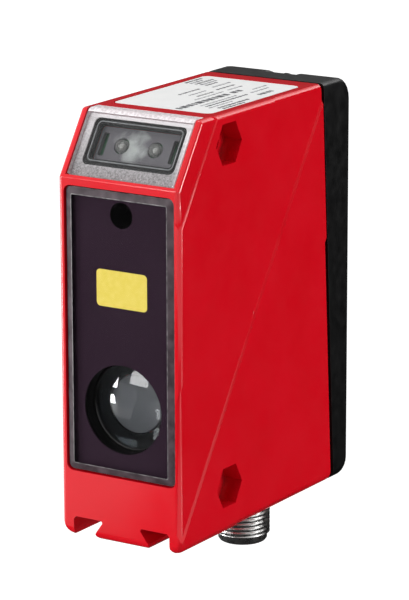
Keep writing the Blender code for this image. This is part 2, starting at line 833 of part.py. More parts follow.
def make_indicator():
    clear = material("clear_plastic", (0.80, 0.82, 0.84), 0.08, transmission=0.9)
    rubber = material("black_rubber", (0.012, 0.012, 0.013), 0.55)
    grey = material("grey_plastic", (0.16, 0.17, 0.18), 0.5)
    green = material("lamp_board", (0.02, 0.09, 0.04), 0.4)
    lamp = material("clear_resin", (0.75, 0.78, 0.80), 0.05, transmission=0.8)
    half = window_half_width()
    section = window_profile(0.0, WINDOW_THICKNESS, WINDOW_START, WINDOW_WRAP)
    prism("indicator_window", section, "X", -half, half, clear)

    grow = GASKET_WIDTH
    side = chamber_half_width()
    reach = CHAMBER_START + CHAMBER_LENGTH
    outer = rounded_rectangle(-side - grow, side + grow, CHAMBER_START - grow, reach + grow, GASKET_CORNER)
    inner = rounded_rectangle(-side, side, CHAMBER_START, reach, CHAMBER_CORNER)
    top = -WINDOW_THICKNESS - SEAT_GAP
    gasket = slant_prism("indicator_gasket", outer, top - GASKET_THICKNESS, top, rubber)
    combine(gasket, slant_prism("indicator_gasket_cutter", inner, top - OVERCUT, top + OVERCUT))
    low = top - GASKET_GROOVE
    near, far = GASKET_WIDTH / 3, GASKET_WIDTH / 3 + GASKET_GROOVE
    groove_inner, groove_outer = (
        rounded_rectangle(-side - reach_out, side + reach_out, CHAMBER_START - reach_out, reach + reach_out,
                          CHAMBER_CORNER + reach_out)
        for reach_out in (near, far)
    )
    groove = slant_prism("gasket_groove_cutter", groove_outer, low, top + OVERCUT)
    combine(groove, slant_prism("gasket_groove_core", groove_inner, low - OVERCUT, top + 2 * OVERCUT))
    combine(gasket, groove)

    gap = SEAT_GAP
    tray_outline = rounded_rectangle(-side + gap, side - gap, CHAMBER_START + gap, reach - gap,
                                     CHAMBER_CORNER)
    tray_top = tray_height()
    tray = slant_prism("indicator_tray", tray_outline, tray_top - TRAY_THICKNESS, tray_top, grey)
    middle = CHAMBER_START + CHAMBER_LENGTH / 2
    for hand, sign in (("left", -1), ("right", 1)):
        x = sign * (side - LIGHT_SLOT_INSET)
        slot = rounded_rectangle(x - LIGHT_SLOT_WIDTH / 2, x + LIGHT_SLOT_WIDTH / 2,
                                 middle - LIGHT_SLOT_LENGTH / 2, middle + LIGHT_SLOT_LENGTH / 2,
                                 LIGHT_SLOT_WIDTH / 4)
        cutter = slant_prism(f"indicator_slot_{hand}_cutter", slot, tray_top - OVERCUT, tray_top + OVERCUT)
        combine(tray, cutter)
        hole = circle(sign * led_reach(), middle, LED_DIAMETER / 2 + gap, 20)
        cutter = slant_prism(f"indicator_led_{hand}_cutter", hole, tray_top - OVERCUT, tray_top + OVERCUT)
        combine(tray, cutter)

    board_top = tray_top - TRAY_THICKNESS - gap
    slant_prism("indicator_board", tray_outline, board_top - LED_BOARD_THICKNESS, board_top, green)
    dome = LED_DIAMETER / 2
    for hand, sign in (("left", -1), ("right", 1)):
        base = board_top + gap
        profile = [(0, 0), (dome, 0)]
        for k in range(ARC_STEPS + 1):
            turn = math.pi / 2 * k / ARC_STEPS
            profile.append((dome * math.cos(turn), LED_LENGTH - dome + dome * math.sin(turn)))
        profile[-1] = (0, LED_LENGTH)
        place = slant_frame() @ Matrix.Translation((sign * led_reach(), middle, base))
        turned(f"indicator_led_{hand}", profile, place, lamp, steps=20)


def make_label():
    white = material("label_film", (0.84, 0.84, 0.84), 0.4)
    half = WIDTH / 2 - LABEL_SIDE_MARGIN
    outline = rounded_rectangle(-half, half, depth(label_start()), depth(label_end()), LABEL_CORNER)
    top = HEIGHT - LABEL_SINK
    prism("type_label", outline, "Z", top - LABEL_THICKNESS, top, white)


def cover_corners():
    gap = REAR_GASKET_THICKNESS + 2 * SEAT_GAP
    return [
        (parting_foot() + gap, 0.0),
        (DEPTH, 0.0),
        (DEPTH, HEIGHT),
        (parting_top() + gap, HEIGHT),
    ]


def notch_outline():
    """Finger notch with sloped sides and a low rib left standing in its middle."""
    floor = HEIGHT - NOTCH_DEPTH
    half, rib = NOTCH_WIDTH / 2, NOTCH_RIB_WIDTH / 2
    right = [
        (rib / 2, floor + NOTCH_RIB_HEIGHT),
        (rib, floor + NOTCH_RIB_HEIGHT / 2),
        (rib * 1.3, floor),
        (half - NOTCH_SLOPE, floor),
        (half, HEIGHT),
        (half, HEIGHT + OVERCUT),
    ]
    return right + [(-x, z) for x, z in reversed(right)]


def make_rear_cover():
    black = material("black_plastic", (0.008, 0.008, 0.009), 0.45)
    rubber = material("cover_rubber", (0.02, 0.02, 0.022), 0.7)
    rings = shell_rings(
        cover_corners(),
        edge_radii=[FOOT_RADIUS, COVER_EDGE_RADIUS, EDGE_RADIUS, 0.0],
        corner_radii=[0.0, COVER_FOOT_RADIUS, COVER_TOP_RADIUS, 0.0],
        corner_steps=[0, ARC_STEPS, ARC_STEPS + 2, 0],
        right=right_face(),
    )
    bm = bmesh.new()
    bridge_rings(bm, rings)
    cover = finish_mesh("rear_cover", bm, black)

    combine(cover, prism("cover_space_cutter", post_space(), "Y", depth(parting_top() - OVERCUT),
                         depth(DEPTH - COVER_WALL)))
    combine(cover, prism("cover_notch_cutter", notch_outline(), "Y", depth(DEPTH - NOTCH_LENGTH),
                         depth(DEPTH + OVERCUT)))
    for number, (x, z) in enumerate(cover_screw_places(), 1):
        shank = circle(x, z, SCREW_SHANK_DIAMETER / 2 + SEAT_GAP, 16)
        combine(cover, prism(f"cover_hole_{number}_cutter", shank, "Y", depth(parting_top()),
                             depth(DEPTH + OVERCUT)))
        head = circle(x, z, SCREW_HEAD_DIAMETER / 2 + SEAT_GAP, 20)
        combine(cover, prism(f"cover_well_{number}_cutter", head, "Y", depth(cover_screw_seat() - SEAT_GAP),
                             depth(DEPTH + OVERCUT)))

    make_rear_gasket(rubber)
    make_cover_screws()


def make_rear_gasket(mat):
    """A flat gasket in the slanted joint, cut from the body outline."""
    start, end = SEAT_GAP, SEAT_GAP + REAR_GASKET_THICKNESS
    inset = REAR_GASKET_INSET
    low, high = parting_depth(inset), parting_depth(HEIGHT - inset)
    side = [
        (depth(low + start), inset),
        (depth(low + end), inset),
        (depth(high + end), HEIGHT - inset),
        (depth(high + start), HEIGHT - inset),
    ]
    gasket = prism("rear_gasket", side, "X", left_face() + inset, right_face() - inset, mat)
    reach = depth(parting_top() - OVERCUT), depth(parting_foot() + OVERCUT)
    combine(gasket, prism("rear_gasket_cutter", post_space(), "Y", *reach))
    for number, (x, z) in enumerate(cover_screw_places(), 1):
        hole = circle(x, z, SCREW_SHANK_DIAMETER / 2 + SEAT_GAP, 16)
        combine(gasket, prism(f"rear_gasket_hole_{number}_cutter", hole, "Y", *reach))


def cover_screw_seat():
    return DEPTH - SCREW_HEAD_SINK - SCREW_HEAD_HEIGHT


def cover_screw_tip():
    return cover_screw_seat() - SCREW_LENGTH


def cap_screw(name, place, head_diameter, head_height, shank_diameter, length, socket, mat):
    """Socket head screw whose head stands on local +Z."""
    head, shank = head_diameter / 2, shank_diameter / 2
    profile = [
        (0, -length), (shank * 0.7, -length), (shank, -length + shank * 0.3), (shank, 0), (head, 0),
        (head, head_height * 0.8), (head * 0.88, head_height), (0, head_height),
    ]
    screw = turned(name, profile, place, mat, steps=20)
    bm = bmesh.new()
    outline = hexagon(0, 0, socket)
    bridge_rings(bm, [[Vector((a, b, t)) for a, b in outline] for t in (head_height * 0.4, head_height + 1)])
    bmesh.ops.transform(bm, matrix=place, verts=bm.verts)
    return combine(screw, finish_mesh(f"{name}_socket_cutter", bm))


def make_cover_screws():
    steel = material("screw_steel", (0.45, 0.45, 0.46), 0.3, metallic=1.0)
    for number, (x, z) in enumerate(cover_screw_places(), 1):
        place = along_y(x, depth(cover_screw_seat()), z)
        cap_screw(f"cover_screw_{number}", place, SCREW_HEAD_DIAMETER, SCREW_HEAD_HEIGHT,
                  SCREW_SHANK_DIAMETER, SCREW_LENGTH, SCREW_SOCKET, steel)


def flange_height():
    return FLOOR_THICKNESS + SEAT_GAP + RING_THICKNESS + SEAT_GAP


def contact_tail_height():
    return flange_height() + CONNECTOR_FLANGE_HEIGHT + PIN_TAIL


def make_connector():
    nickel = material("nickel_plate", (0.62, 0.61, 0.60), 0.22, metallic=1.0)
    black = material("contact_plastic", (0.01, 0.01, 0.01), 0.5)
    gold = material("gold_contact", (0.80, 0.56, 0.20), 0.25, metallic=1.0)
    rubber = material("ring_rubber", (0.015, 0.015, 0.015), 0.6)
    thread, tip, bore = CONNECTOR_THREAD / 2, CONNECTOR_TIP / 2, CONNECTOR_BORE / 2
    seat = FLOOR_THICKNESS + SEAT_GAP
    flange_start = flange_height()
    flange_end = flange_start + CONNECTOR_FLANGE_HEIGHT
    end, soft = -CONNECTOR_LENGTH, CONNECTOR_CHAMFER
    shelf = end + CONNECTOR_SOCKET_DEPTH
    profile = [
        (bore, end),
        (tip - soft, end),
        (tip, end + soft),
        (tip, end + CONNECTOR_TIP_LENGTH),
        (thread - soft, end + CONNECTOR_TIP_LENGTH),
        (thread, end + CONNECTOR_TIP_LENGTH + soft),
        (thread, flange_start),
        (CONNECTOR_FLANGE / 2, flange_start),
        (CONNECTOR_FLANGE / 2, flange_end),
        (bore + CARRIER_LIP, flange_end),
        (bore + CARRIER_LIP, shelf),
        (bore, shelf),
    ]
    at = Matrix.Translation((0, depth(connector_depth()), 0))
    turned("connector_shell", profile, at, nickel, steps=40)

    ring = circle(thread + SEAT_GAP + RING_THICKNESS / 2, seat + RING_THICKNESS / 2, RING_THICKNESS / 2, 10)
    turned("connector_o_ring", ring, at, rubber, steps=32)

    insert_low = shelf + SEAT_GAP
    insert_high = flange_end
    place = Matrix.Translation((0, depth(connector_depth()), insert_low))
    body = rod(bore + CARRIER_LIP - SEAT_GAP, insert_high - insert_low)
    insert = turned("contact_carrier", body, place, black)
    pin = PIN_DIAMETER / 2
    places = [(0.0, 0.0)] + [(PIN_CIRCLE / 2 * math.cos(math.radians(45 + 90 * k)),
                              PIN_CIRCLE / 2 * math.sin(math.radians(45 + 90 * k))) for k in range(4)]
    for number, (x, y) in enumerate(places, 1):
        y = y + depth(connector_depth())
        hole = prism(f"contact_hole_{number}_cutter", circle(x, y, pin + PIN_CLEARANCE, 12), "Z",
                     insert_low - OVERCUT, insert_high + OVERCUT)
        combine(insert, hole)
        low = insert_low - PIN_LENGTH
        high = contact_tail_height()
        profile = [(0, low), (pin * 0.5, low), (pin, low + pin), (pin, high), (0, high)]
        turned(f"contact_pin_{number}", profile, Matrix.Translation((x, y, 0)), gold, steps=12)


def optics_start():
    return FRONT_WALL + SEAT_GAP


def barrel_start():
    """The barrel reaches through the front wall to just behind the pane's seal."""
    return pane_seat_depth() + SEAT_GAP


def dome_profile(radius, crown, edge, steps):
    """Points from the top of a lens's dome, which faces down, out to its edge."""
    sphere = (radius * radius + crown * crown) / (2 * crown)
    reach = math.asin(radius / sphere)
    middle = edge - crown + sphere
    points = [(0, edge - crown)]
    for k in range(1, steps + 1):
        turn = reach * k / steps
        points.append((sphere * math.sin(turn), middle - sphere * math.cos(turn)))
    return points


def make_receiver():
    black = material("barrel_black", (0.006, 0.006, 0.007), 0.6)
    glass = material("lens_glass", (0.55, 0.57, 0.62), 0.02, transmission=0.9)
    start = barrel_start()
    place = along_y(0, depth(start), receiver_height())
    outer, inner = barrel_outer() / 2, receiver_aperture() / 2
    lens = inner - LENS_PLAY
    edge = LENS_SET_BACK - start
    shelf = edge + LENS_EDGE + SEAT_GAP
    stop = lens - BARREL_STOP
    end = carrier_start() + CARRIER_THICKNESS - start
    profile = [(inner, 0), (outer, 0), (outer, end), (stop, end), (stop, shelf), (inner, shelf)]
    turned("receiver_barrel", profile, place, black, steps=40)
    dome = dome_profile(lens, LENS_CROWN, edge, 5)
    turned("receiver_lens", dome + [(lens, edge + LENS_EDGE), (0, edge + LENS_EDGE)], place, glass, steps=40)
    tinted = material("filter_glass", (0.13, 0.13, 0.14), 0.3)
    seated = along_y(0, depth(start + shelf), receiver_height())
    turned("receiver_filter", rod(stop - SEAT_GAP, FILTER_THICKNESS), seated, tinted, steps=40)


def make_laser():
    brass = material("tube_brass", (0.55, 0.42, 0.18), 0.35, metallic=1.0)
    glass = material("collimator_glass", (0.55, 0.57, 0.62), 0.02, transmission=0.9)
    steel = material("diode_can", (0.60, 0.58, 0.52), 0.25, metallic=1.0)
    place = along_y(0, depth(optics_start()), emitter_height())
    outer, inner = TUBE_OUTER / 2, TUBE_INNER / 2
    lens = COLLIMATOR_DIAMETER / 2
    neck = lens - TUBE_STOP
    edge = COLLIMATOR_SET_BACK + COLLIMATOR_CROWN
    back = COLLIMATOR_SET_BACK + COLLIMATOR_THICKNESS
    seat = TUBE_LENGTH - DIODE_POCKET
    profile = [
        (inner, 0),
        (outer, 0),
        (outer, TUBE_LENGTH),
        (inner, TUBE_LENGTH),
        (inner, seat),
        (neck, seat),
        (neck, back + SEAT_GAP),
        (inner, back + SEAT_GAP),
    ]
    turned("laser_tube", profile, place, brass)
    dome = dome_profile(lens, COLLIMATOR_CROWN, edge, 4)
    turned("collimator_lens", dome + [(lens, back), (0, back)], place, glass, steps=24)
    flange, can = DIODE_FLANGE / 2, DIODE_CAN / 2
    low = seat + SEAT_GAP
    step = low + DIODE_FLANGE_THICKNESS
    end = low + DIODE_LENGTH
    profile = [(0, low), (flange, low), (flange, step), (can, step), (can, end), (0, end)]
    turned("laser_diode", profile, place, steel, steps=24)


def carrier_start():
    return optics_start() + CARRIER_SET_BACK


def carrier_foot():
    return optics_foot() + SEAT_GAP


def sensor_board_depth():
    return carrier_start() + CARRIER_THICKNESS + CARRIER_ARM + SEAT_GAP


def sensor_board_top():
    return receiver_height() + SENSOR_BOARD_REACH


def make_carrier():
    """Plate that holds the barrel and the tube, with two arms back to the sensor board."""
    black = material("carrier_black", (0.010, 0.010, 0.011), 0.55)
    start = depth(carrier_start())
    outline = rectangle(inner_left() + SEAT_GAP, inner_right() - SEAT_GAP,
                        carrier_foot(), optics_roof() - SEAT_GAP)
    plate = prism("optics_carrier", outline, "Y", start, start + CARRIER_THICKNESS, black)
    half = SENSOR_BOARD_WIDTH / 2
    for side, z in (("upper", sensor_board_top() - CARRIER_ARM_THICKNESS), ("lower", carrier_foot())):
        arm = prism(f"carrier_arm_{side}_body", rectangle(-half, half, z, z + CARRIER_ARM_THICKNESS), "Y",
                    start + CARRIER_THICKNESS / 2, start + CARRIER_THICKNESS + CARRIER_ARM)
        combine(plate, arm, "UNION")
    for name, height, across in (("barrel", receiver_height(), barrel_outer()),
                                 ("tube", emitter_height(), TUBE_OUTER)):
        hole = prism(f"carrier_{name}_cutter", circle(0, height, across / 2 + SEAT_GAP), "Y",
                     start - OVERCUT, start + CARRIER_THICKNESS + OVERCUT)
        combine(plate, hole)


def make_sensor_board():
    green = material("sensor_board_green", (0.015, 0.10, 0.05), 0.35)
    ceramic = material("chip_ceramic", (0.05, 0.05, 0.055), 0.25)
    y = depth(sensor_board_depth())
    half = SENSOR_BOARD_WIDTH / 2
    prism("sensor_board", rectangle(-half, half, carrier_foot(), sensor_board_top()), "Y",
          y, y + BOARD_THICKNESS, green)
    across, along = SENSOR_CHIP_WIDTH / 2, SENSOR_CHIP_LENGTH / 2
    outline = rectangle(-across, across, receiver_height() - along, receiver_height() + along)
    prism("line_sensor", outline, "Y", y - SEAT_GAP - SENSOR_CHIP_HEIGHT, y - SEAT_GAP, ceramic)


def main_board_x():
    return inner_left() + BOARD_POST + SEAT_GAP


def main_board_start():
    return rear_space_front() + MAIN_BOARD_FRONT_MARGIN


def main_board_end():
    return parting_top() - MAIN_BOARD_REAR_MARGIN


def main_board_top():
    return HEIGHT - MAIN_BOARD_ROOF_MARGIN


def board_screw_places():
    """Depth as world Y, and height, of the screws, the lower two above the connector's ribbon."""
    low = ribbon_end() + BOARD_SCREW_HEAD / 2 + SEAT_GAP
    for start in (main_board_start() + BOARD_SCREW_INSET, main_board_end() - BOARD_SCREW_INSET):
        for z in (low, main_board_top() - BOARD_SCREW_INSET):
            yield depth(start), z


def ribbon_end():
    """Height at which the connector's ribbon ends on the main board."""
    return MAIN_BOARD_FOOT + RIBBON_LAP


def socket_height():
    """Middle of the ribbon socket, level with the sensor board that feeds it."""
    return receiver_height() + SOCKET_OVER_RECEIVER


def on_main_board(name, outline, height, mat):
    """A component that stands on the right face of the main board."""
    x = main_board_x() + BOARD_THICKNESS + SEAT_GAP
    return prism(name, outline, "X", x, x + height, mat)


def centred(middle_a, middle_b, size_a, size_b):
    half_a, half_b = size_a / 2, size_b / 2
    return rectangle(middle_a - half_a, middle_a + half_a, middle_b - half_b, middle_b + half_b)


def make_main_board():
    green = material("main_board_green", (0.012, 0.09, 0.04), 0.35)
    dark = material("chip_black", (0.012, 0.012, 0.013), 0.5)
    ferrite = material("ferrite", (0.05, 0.05, 0.05), 0.7)
    silver = material("capacitor_can", (0.55, 0.56, 0.58), 0.3, metallic=1.0)
    cream = material("socket_plastic", (0.70, 0.66, 0.52), 0.5)
    steel = material("board_screw_steel", (0.5, 0.5, 0.5), 0.35, metallic=1.0)
    x = main_board_x()
    outline = rectangle(depth(main_board_start()), depth(main_board_end()), MAIN_BOARD_FOOT, main_board_top())
    board = prism("main_board", outline, "X", x, x + BOARD_THICKNESS, green)
    for number, (y, z) in enumerate(board_screw_places(), 1):
        hole = circle(y, z, BOARD_SCREW_HOLE / 2 + SEAT_GAP, 12)
        combine(board, prism(f"main_board_hole_{number}_cutter", hole, "X", x - OVERCUT,
                             x + BOARD_THICKNESS + OVERCUT))
        place = facing((1, 0, 0), x + BOARD_THICKNESS + SEAT_GAP, y, z)
        shank = BOARD_SCREW_HOLE - 2 * PIN_CLEARANCE
        cap_screw(f"board_screw_{number}", place, BOARD_SCREW_HEAD, BOARD_SCREW_HEAD_HEIGHT, shank,
                  BOARD_THICKNESS + 2 * SEAT_GAP + BOARD_POST, BOARD_SCREW_SOCKET, steel)
    middle = depth((main_board_start() + main_board_end()) / 2)
    row = MAIN_BOARD_FOOT + POWER_RISE
    on_main_board("power_inductor", centred(middle - POWER_PITCH / 2, row, INDUCTOR_SIDE, INDUCTOR_SIDE),
                  INDUCTOR_HEIGHT, ferrite)
    on_main_board("power_capacitor", circle(middle + POWER_PITCH / 2, row, CAPACITOR_DIAMETER / 2, 24),
                  CAPACITOR_HEIGHT, silver)
    on_main_board("ribbon_socket",
                  centred(middle, socket_height(), SOCKET_WIDTH, SOCKET_LENGTH),
                  SOCKET_HEIGHT, cream)
    on_main_board("processor_chip",
                  centred(middle, MAIN_BOARD_FOOT + PROCESSOR_RISE, PROCESSOR_SIDE, PROCESSOR_SIDE),
                  PROCESSOR_HEIGHT, dark)
    make_ribbons(middle)


def strip(path, thickness):
    """Outline of a thin band that follows an open path, with the path as its middle line."""
    points = [Vector(p) for p in path]
    sides = []
    for i, point in enumerate(points):
        runs = []
        if i > 0:
            runs.append((point - points[i - 1]).normalized())
        if i < len(points) - 1:
            runs.append((points[i + 1] - point).normalized())
        along = sum(runs, Vector((0, 0))).normalized()
        across = Vector((-along.y, along.x)) * thickness / 2
        across /= max(0.5, along.dot(runs[0]))
        sides.append((point + across, point - across))
    return [tuple(a) for a, _ in sides] + [tuple(b) for _, b in reversed(sides)]


def ribbon_path(start, corner, end):
    """Middle line of a ribbon with one eased bend."""
    corner = Vector(corner)
    into = (Vector(start) - corner).normalized() * RIBBON_BEND
    out = (Vector(end) - corner).normalized() * RIBBON_BEND
    ease = (into + out) * BEND_BULGE
    return [start, tuple(corner + into), tuple(corner + ease), tuple(corner + out), end]


def make_ribbons(socket_y):
    """Flat leads from the line sensor and from the connector to the main board."""
    amber = material("ribbon_amber", (0.45, 0.16, 0.02), 0.35)
    half = RIBBON_THICKNESS / 2
    face = main_board_x() + BOARD_THICKNESS + SEAT_GAP
    over_socket = face + SOCKET_HEIGHT + SEAT_GAP + half
    behind = depth(sensor_board_depth() + BOARD_THICKNESS) + SEAT_GAP + half
    path = ribbon_path((SENSOR_BOARD_WIDTH / 4, behind), (over_socket, behind), (over_socket, socket_y))
    low = socket_height() - RIBBON_WIDTH / 2
    prism("sensor_ribbon", strip(path, RIBBON_THICKNESS), "Z", low, low + RIBBON_WIDTH, amber)
    over_pins = contact_tail_height() + SEAT_GAP + half
    path = ribbon_path((PIN_CIRCLE / 2, over_pins), (face + half, over_pins), (face + half, ribbon_end()))
    side = max(y for y, _ in board_screw_places()) - BOARD_SCREW_HEAD / 2 - SEAT_GAP
    prism("connector_ribbon", strip(path, RIBBON_THICKNESS), "Y", side - RIBBON_WIDTH, side, amber)


def main():
    clear_scene()
    make_housing()
    make_front_pane()
    make_indicator()
    make_label()
    make_rear_cover()
    make_connector()
    make_receiver()
    make_laser()
    make_carrier()
    make_sensor_board()
    make_main_board()


main()
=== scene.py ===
import math

import bmesh
import bpy
from mathutils import Matrix, Vector


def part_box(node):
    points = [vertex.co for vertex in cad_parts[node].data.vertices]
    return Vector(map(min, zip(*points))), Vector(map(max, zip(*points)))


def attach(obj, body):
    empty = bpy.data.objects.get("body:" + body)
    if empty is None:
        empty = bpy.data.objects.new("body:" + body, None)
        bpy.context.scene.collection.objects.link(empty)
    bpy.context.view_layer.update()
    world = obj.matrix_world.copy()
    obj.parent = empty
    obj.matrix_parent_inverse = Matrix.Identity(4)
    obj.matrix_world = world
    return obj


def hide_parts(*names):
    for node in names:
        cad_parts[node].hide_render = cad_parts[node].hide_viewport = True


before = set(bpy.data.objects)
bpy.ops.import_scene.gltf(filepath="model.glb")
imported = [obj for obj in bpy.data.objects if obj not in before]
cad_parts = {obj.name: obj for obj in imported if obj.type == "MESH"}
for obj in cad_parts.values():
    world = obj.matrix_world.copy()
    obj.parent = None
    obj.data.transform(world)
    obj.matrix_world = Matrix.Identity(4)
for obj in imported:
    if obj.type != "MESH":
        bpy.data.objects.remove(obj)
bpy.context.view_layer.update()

MM = 0.001


def box_mm(node):
    """Lowest and highest corner of a solid's box, in millimetres."""
    low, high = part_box(node)
    return low / MM, high / MM


def middle_mm(node):
    """Middle of a solid's box, in millimetres."""
    low, high = box_mm(node)
    return (low + high) / 2


# Places of the solids, in millimetres to this many decimals
DECIMALS = 3
body_low, body_high = box_mm("housing")
FRONT = round(body_low.y, DECIMALS)
HEIGHT = round(body_high.z, DECIMALS)
CONNECTOR_Y = round(middle_mm("connector_shell").y, DECIMALS)
RECEIVER_Z = round(middle_mm("receiver_lens").z, DECIMALS)
EMITTER_Z = round(middle_mm("laser_tube").z, DECIMALS)

# The slanted face of the body starts at this height and reaches this far back, in millimetres
SLANT_START = 76.9
SLANT_DEPTH = 8.8
SLOPE = math.atan2(HEIGHT - SLANT_START, SLANT_DEPTH)


def on_slant(x, along, out):
    """A point beside the slanted face, in millimetres: across it, up it and out of it."""
    return Vector((x, FRONT + along * math.cos(SLOPE) - out * math.sin(SLOPE),
                   SLANT_START + along * math.sin(SLOPE) + out * math.cos(SLOPE)))


# Materials

# Spans of a noise that are carried to the whole of a roughness and the whole of a tint
NOISE_RANGE = (0.3, 0.7)
TINT_RANGE = (0.35, 0.65)

# How much finer the relief is along each axis, which gives the marks of turning
TURNED = (1.0, 14.0, 1.0)
TUBE_TURNED = (1.0, 12.0, 1.0)
PLATED = (1.0, 1.0, 3.0)

# Middle of the pale spot painted on the tray as a pool of light, and its reach, in metres
TRAY_LIGHT_POOL = on_slant(-1.2, 9.4, -2.9) * MM
TRAY_LIGHT_POOL_REACH = 0.0042

# Heights over which the bed of the window is painted pale towards white as a painted highlight, and the
# strip along its right rim that takes a painted highlight too, in metres
FROST_HIGHLIGHT_HEIGHTS = (0.0785, 0.0880)
FROST_RIM_HIGHLIGHT = (0.0116, 0.0128)


class Shader:
    """A Principled material and short ways to feed it."""

    def __init__(self, name, colour, roughness, metallic=0.0, **sockets):
        self.material = bpy.data.materials.new(name)
        self.material.use_nodes = True
        self.tree = self.material.node_tree
        self.shader = self.tree.nodes["Principled BSDF"]
        self.set("Base Color", (*colour, 1.0))
        self.set("Roughness", roughness)
        self.set("Metallic", metallic)
        for key, value in sockets.items():
            self.set(key.replace("_", " "), value)
        self.coordinates = self.node("ShaderNodeTexCoord").outputs["Object"]

    def set(self, socket, value):
        """Sets a socket of the Principled shader."""
        self.shader.inputs[socket].default_value = value

    def feed(self, socket, source):
        """Links a source to a socket of the Principled shader."""
        self.link(source, self.shader.inputs[socket])

    def node(self, kind, **inputs):
        """A new node, with values for its inputs."""
        made = self.tree.nodes.new(kind)
        for key, value in inputs.items():
            made.inputs[key.replace("_", " ")].default_value = value
        return made

    def link(self, source, target):
        """Joins an output to an input."""
        self.tree.links.new(source, target)

    def noise(self, scale, detail=3.0, stretch=None):
        """Noise whose scale is in cells per metre, stretched along the axes if asked."""
        made = self.node("ShaderNodeTexNoise", Scale=scale, Detail=detail)
        source = self.coordinates
        if stretch:
            mapping = self.node("ShaderNodeMapping", Scale=stretch)
            self.link(source, mapping.inputs["Vector"])
            source = mapping.outputs["Vector"]
        self.link(source, made.inputs["Vector"])
        return made.outputs["Fac"]

    def spread(self, source, low, high, span=NOISE_RANGE):
        """Carries a span of the source to the values from low to high."""
        made = self.node("ShaderNodeMapRange", From_Min=span[0], From_Max=span[1], To_Min=low, To_Max=high)
        self.link(source, made.inputs["Value"])
        return made.outputs["Result"]

    def total(self, first, second, clamp=False):
        """Sum of two values."""
        made = self.node("ShaderNodeMath")
        made.use_clamp = clamp
        self.link(first, made.inputs[0])
        self.link(second, made.inputs[1])
        return made.outputs["Value"]

    def blend(self, factor, first, second):
        """Base colour between two tones."""
        made = self.node("ShaderNodeMix")
        made.data_type = "RGBA"
        made.inputs["A"].default_value = (*first, 1.0)
        made.inputs["B"].default_value = (*second, 1.0)
        self.link(factor, made.inputs["Factor"])
        self.feed("Base Color", made.outputs["Result"])

    def tint(self, scale, first, second, detail=3.0):
        """Base colour that drifts between two close tones."""
        self.blend(self.spread(self.noise(scale, detail), 0.0, 1.0, TINT_RANGE), first, second)

    def rise_to_painted_highlight(self, heights, rim, first, second):
        """Base colour that climbs from first to second with height and across a rim, broken up by noise: a
        painted highlight.
        """
        foot_share, rim_share, grain = 0.33, 0.7, 0.2
        apart = self.node("ShaderNodeSeparateXYZ")
        self.link(self.coordinates, apart.inputs[0])
        climb = self.spread(apart.outputs["Z"], foot_share, 1.0, heights)
        side = self.spread(apart.outputs["X"], 0.0, rim_share, rim)
        speckle = self.spread(self.noise(scale=2200, detail=4.0), -grain, grain)
        self.blend(self.total(self.total(climb, side), speckle, clamp=True), first, second)

    def painted_light_pool(self, middle, reach, inner, outer):
        """Base colour that goes from inner to outer with the distance from a point, with cloudy edges: a
        painted pool of light.
        """
        core, drift = 0.2 * reach, 0.4 * reach
        away = self.node("ShaderNodeVectorMath")
        away.operation = "DISTANCE"
        away.inputs[1].default_value = middle
        self.link(self.coordinates, away.inputs[0])
        cloud = self.spread(self.noise(scale=380, detail=4.0), -drift, drift)
        distance = self.total(away.outputs["Value"], cloud)
        self.blend(self.spread(distance, 0.0, 1.0, (core, reach)), inner, outer)

    def rough(self, scale, low, high):
        """Roughness that drifts between two values."""
        self.feed("Roughness", self.spread(self.noise(scale), low, high))

    def bump(self, scale, detail, depth, strength, stretch=None):
        """Fine relief of noise; the depth is in metres."""
        made = self.node("ShaderNodeBump", Strength=strength, Distance=depth)
        self.link(self.noise(scale, detail, stretch), made.inputs["Height"])
        self.feed("Normal", made.outputs["Normal"])


def red_enamel():
    """Thick enamel over a casting: a faint orange peel and a slightly uneven gloss."""
    made = Shader("red_enamel", (0.57, 0.002, 0.009), roughness=0.18)
    made.tint(60, (0.565, 0.0015, 0.0080), (0.590, 0.0025, 0.0105))
    made.rough(220, 0.15, 0.22)
    made.bump(1100, 2.0, depth=0.00001, strength=0.3)
    return made.material


def black_plastic():
    """Fine spark-eroded grain of a moulded cover."""
    made = Shader("black_plastic", (0.0018, 0.0018, 0.0018), roughness=0.40, Specular_IOR_Level=0.42)
    made.tint(150, (0.0015, 0.0015, 0.0016), (0.0024, 0.0024, 0.0025))
    made.rough(400, 0.34, 0.45)
    made.bump(3200, 3.0, depth=0.00002, strength=0.5)
    return made.material


def pane_glass():
    """Thin clear plate; most of the light goes straight through to the print behind it."""
    made = Shader("pane_glass", (0.02, 0.02, 0.02), roughness=0.08, Alpha=0.04, Specular_IOR_Level=0.1)
    made.tint(90, (0.016, 0.016, 0.016), (0.024, 0.024, 0.024))
    made.rough(300, 0.06, 0.10)
    return made.material


def pane_print():
    """Dark filter print behind the glass."""
    made = Shader("pane_print", (0.0223, 0.0109, 0.0204), roughness=0.7, Specular_IOR_Level=0.03)
    made.tint(90, (0.0213, 0.0103, 0.0195), (0.0234, 0.0116, 0.0214))
    made.rough(300, 0.65, 0.75)
    made.bump(2500, 2.0, depth=0.000002, strength=0.2)
    return made.material


def pane_margin():
    """Ground bevel of the glass, frosted grey."""
    made = Shader("pane_margin", (0.052, 0.038, 0.045), roughness=0.5, Specular_IOR_Level=0.2)
    made.tint(420, (0.036, 0.026, 0.031), (0.078, 0.058, 0.068), detail=5.0)
    made.rough(500, 0.42, 0.6)
    made.bump(1500, 3.0, depth=0.00001, strength=0.4)
    return made.material


def pane_edge_highlight():
    """The fine line along both eased edges of the bevel, painted lighter as their highlight."""
    # Painted highlight: the eased edges of the bevel take a lighter grey than the bevel
    made = Shader("pane_edge_highlight", (0.12, 0.105, 0.112), roughness=0.3, Specular_IOR_Level=0.3)
    made.tint(600, (0.05, 0.045, 0.048), (0.20, 0.185, 0.192))
    made.rough(900, 0.2, 0.35)
    return made.material


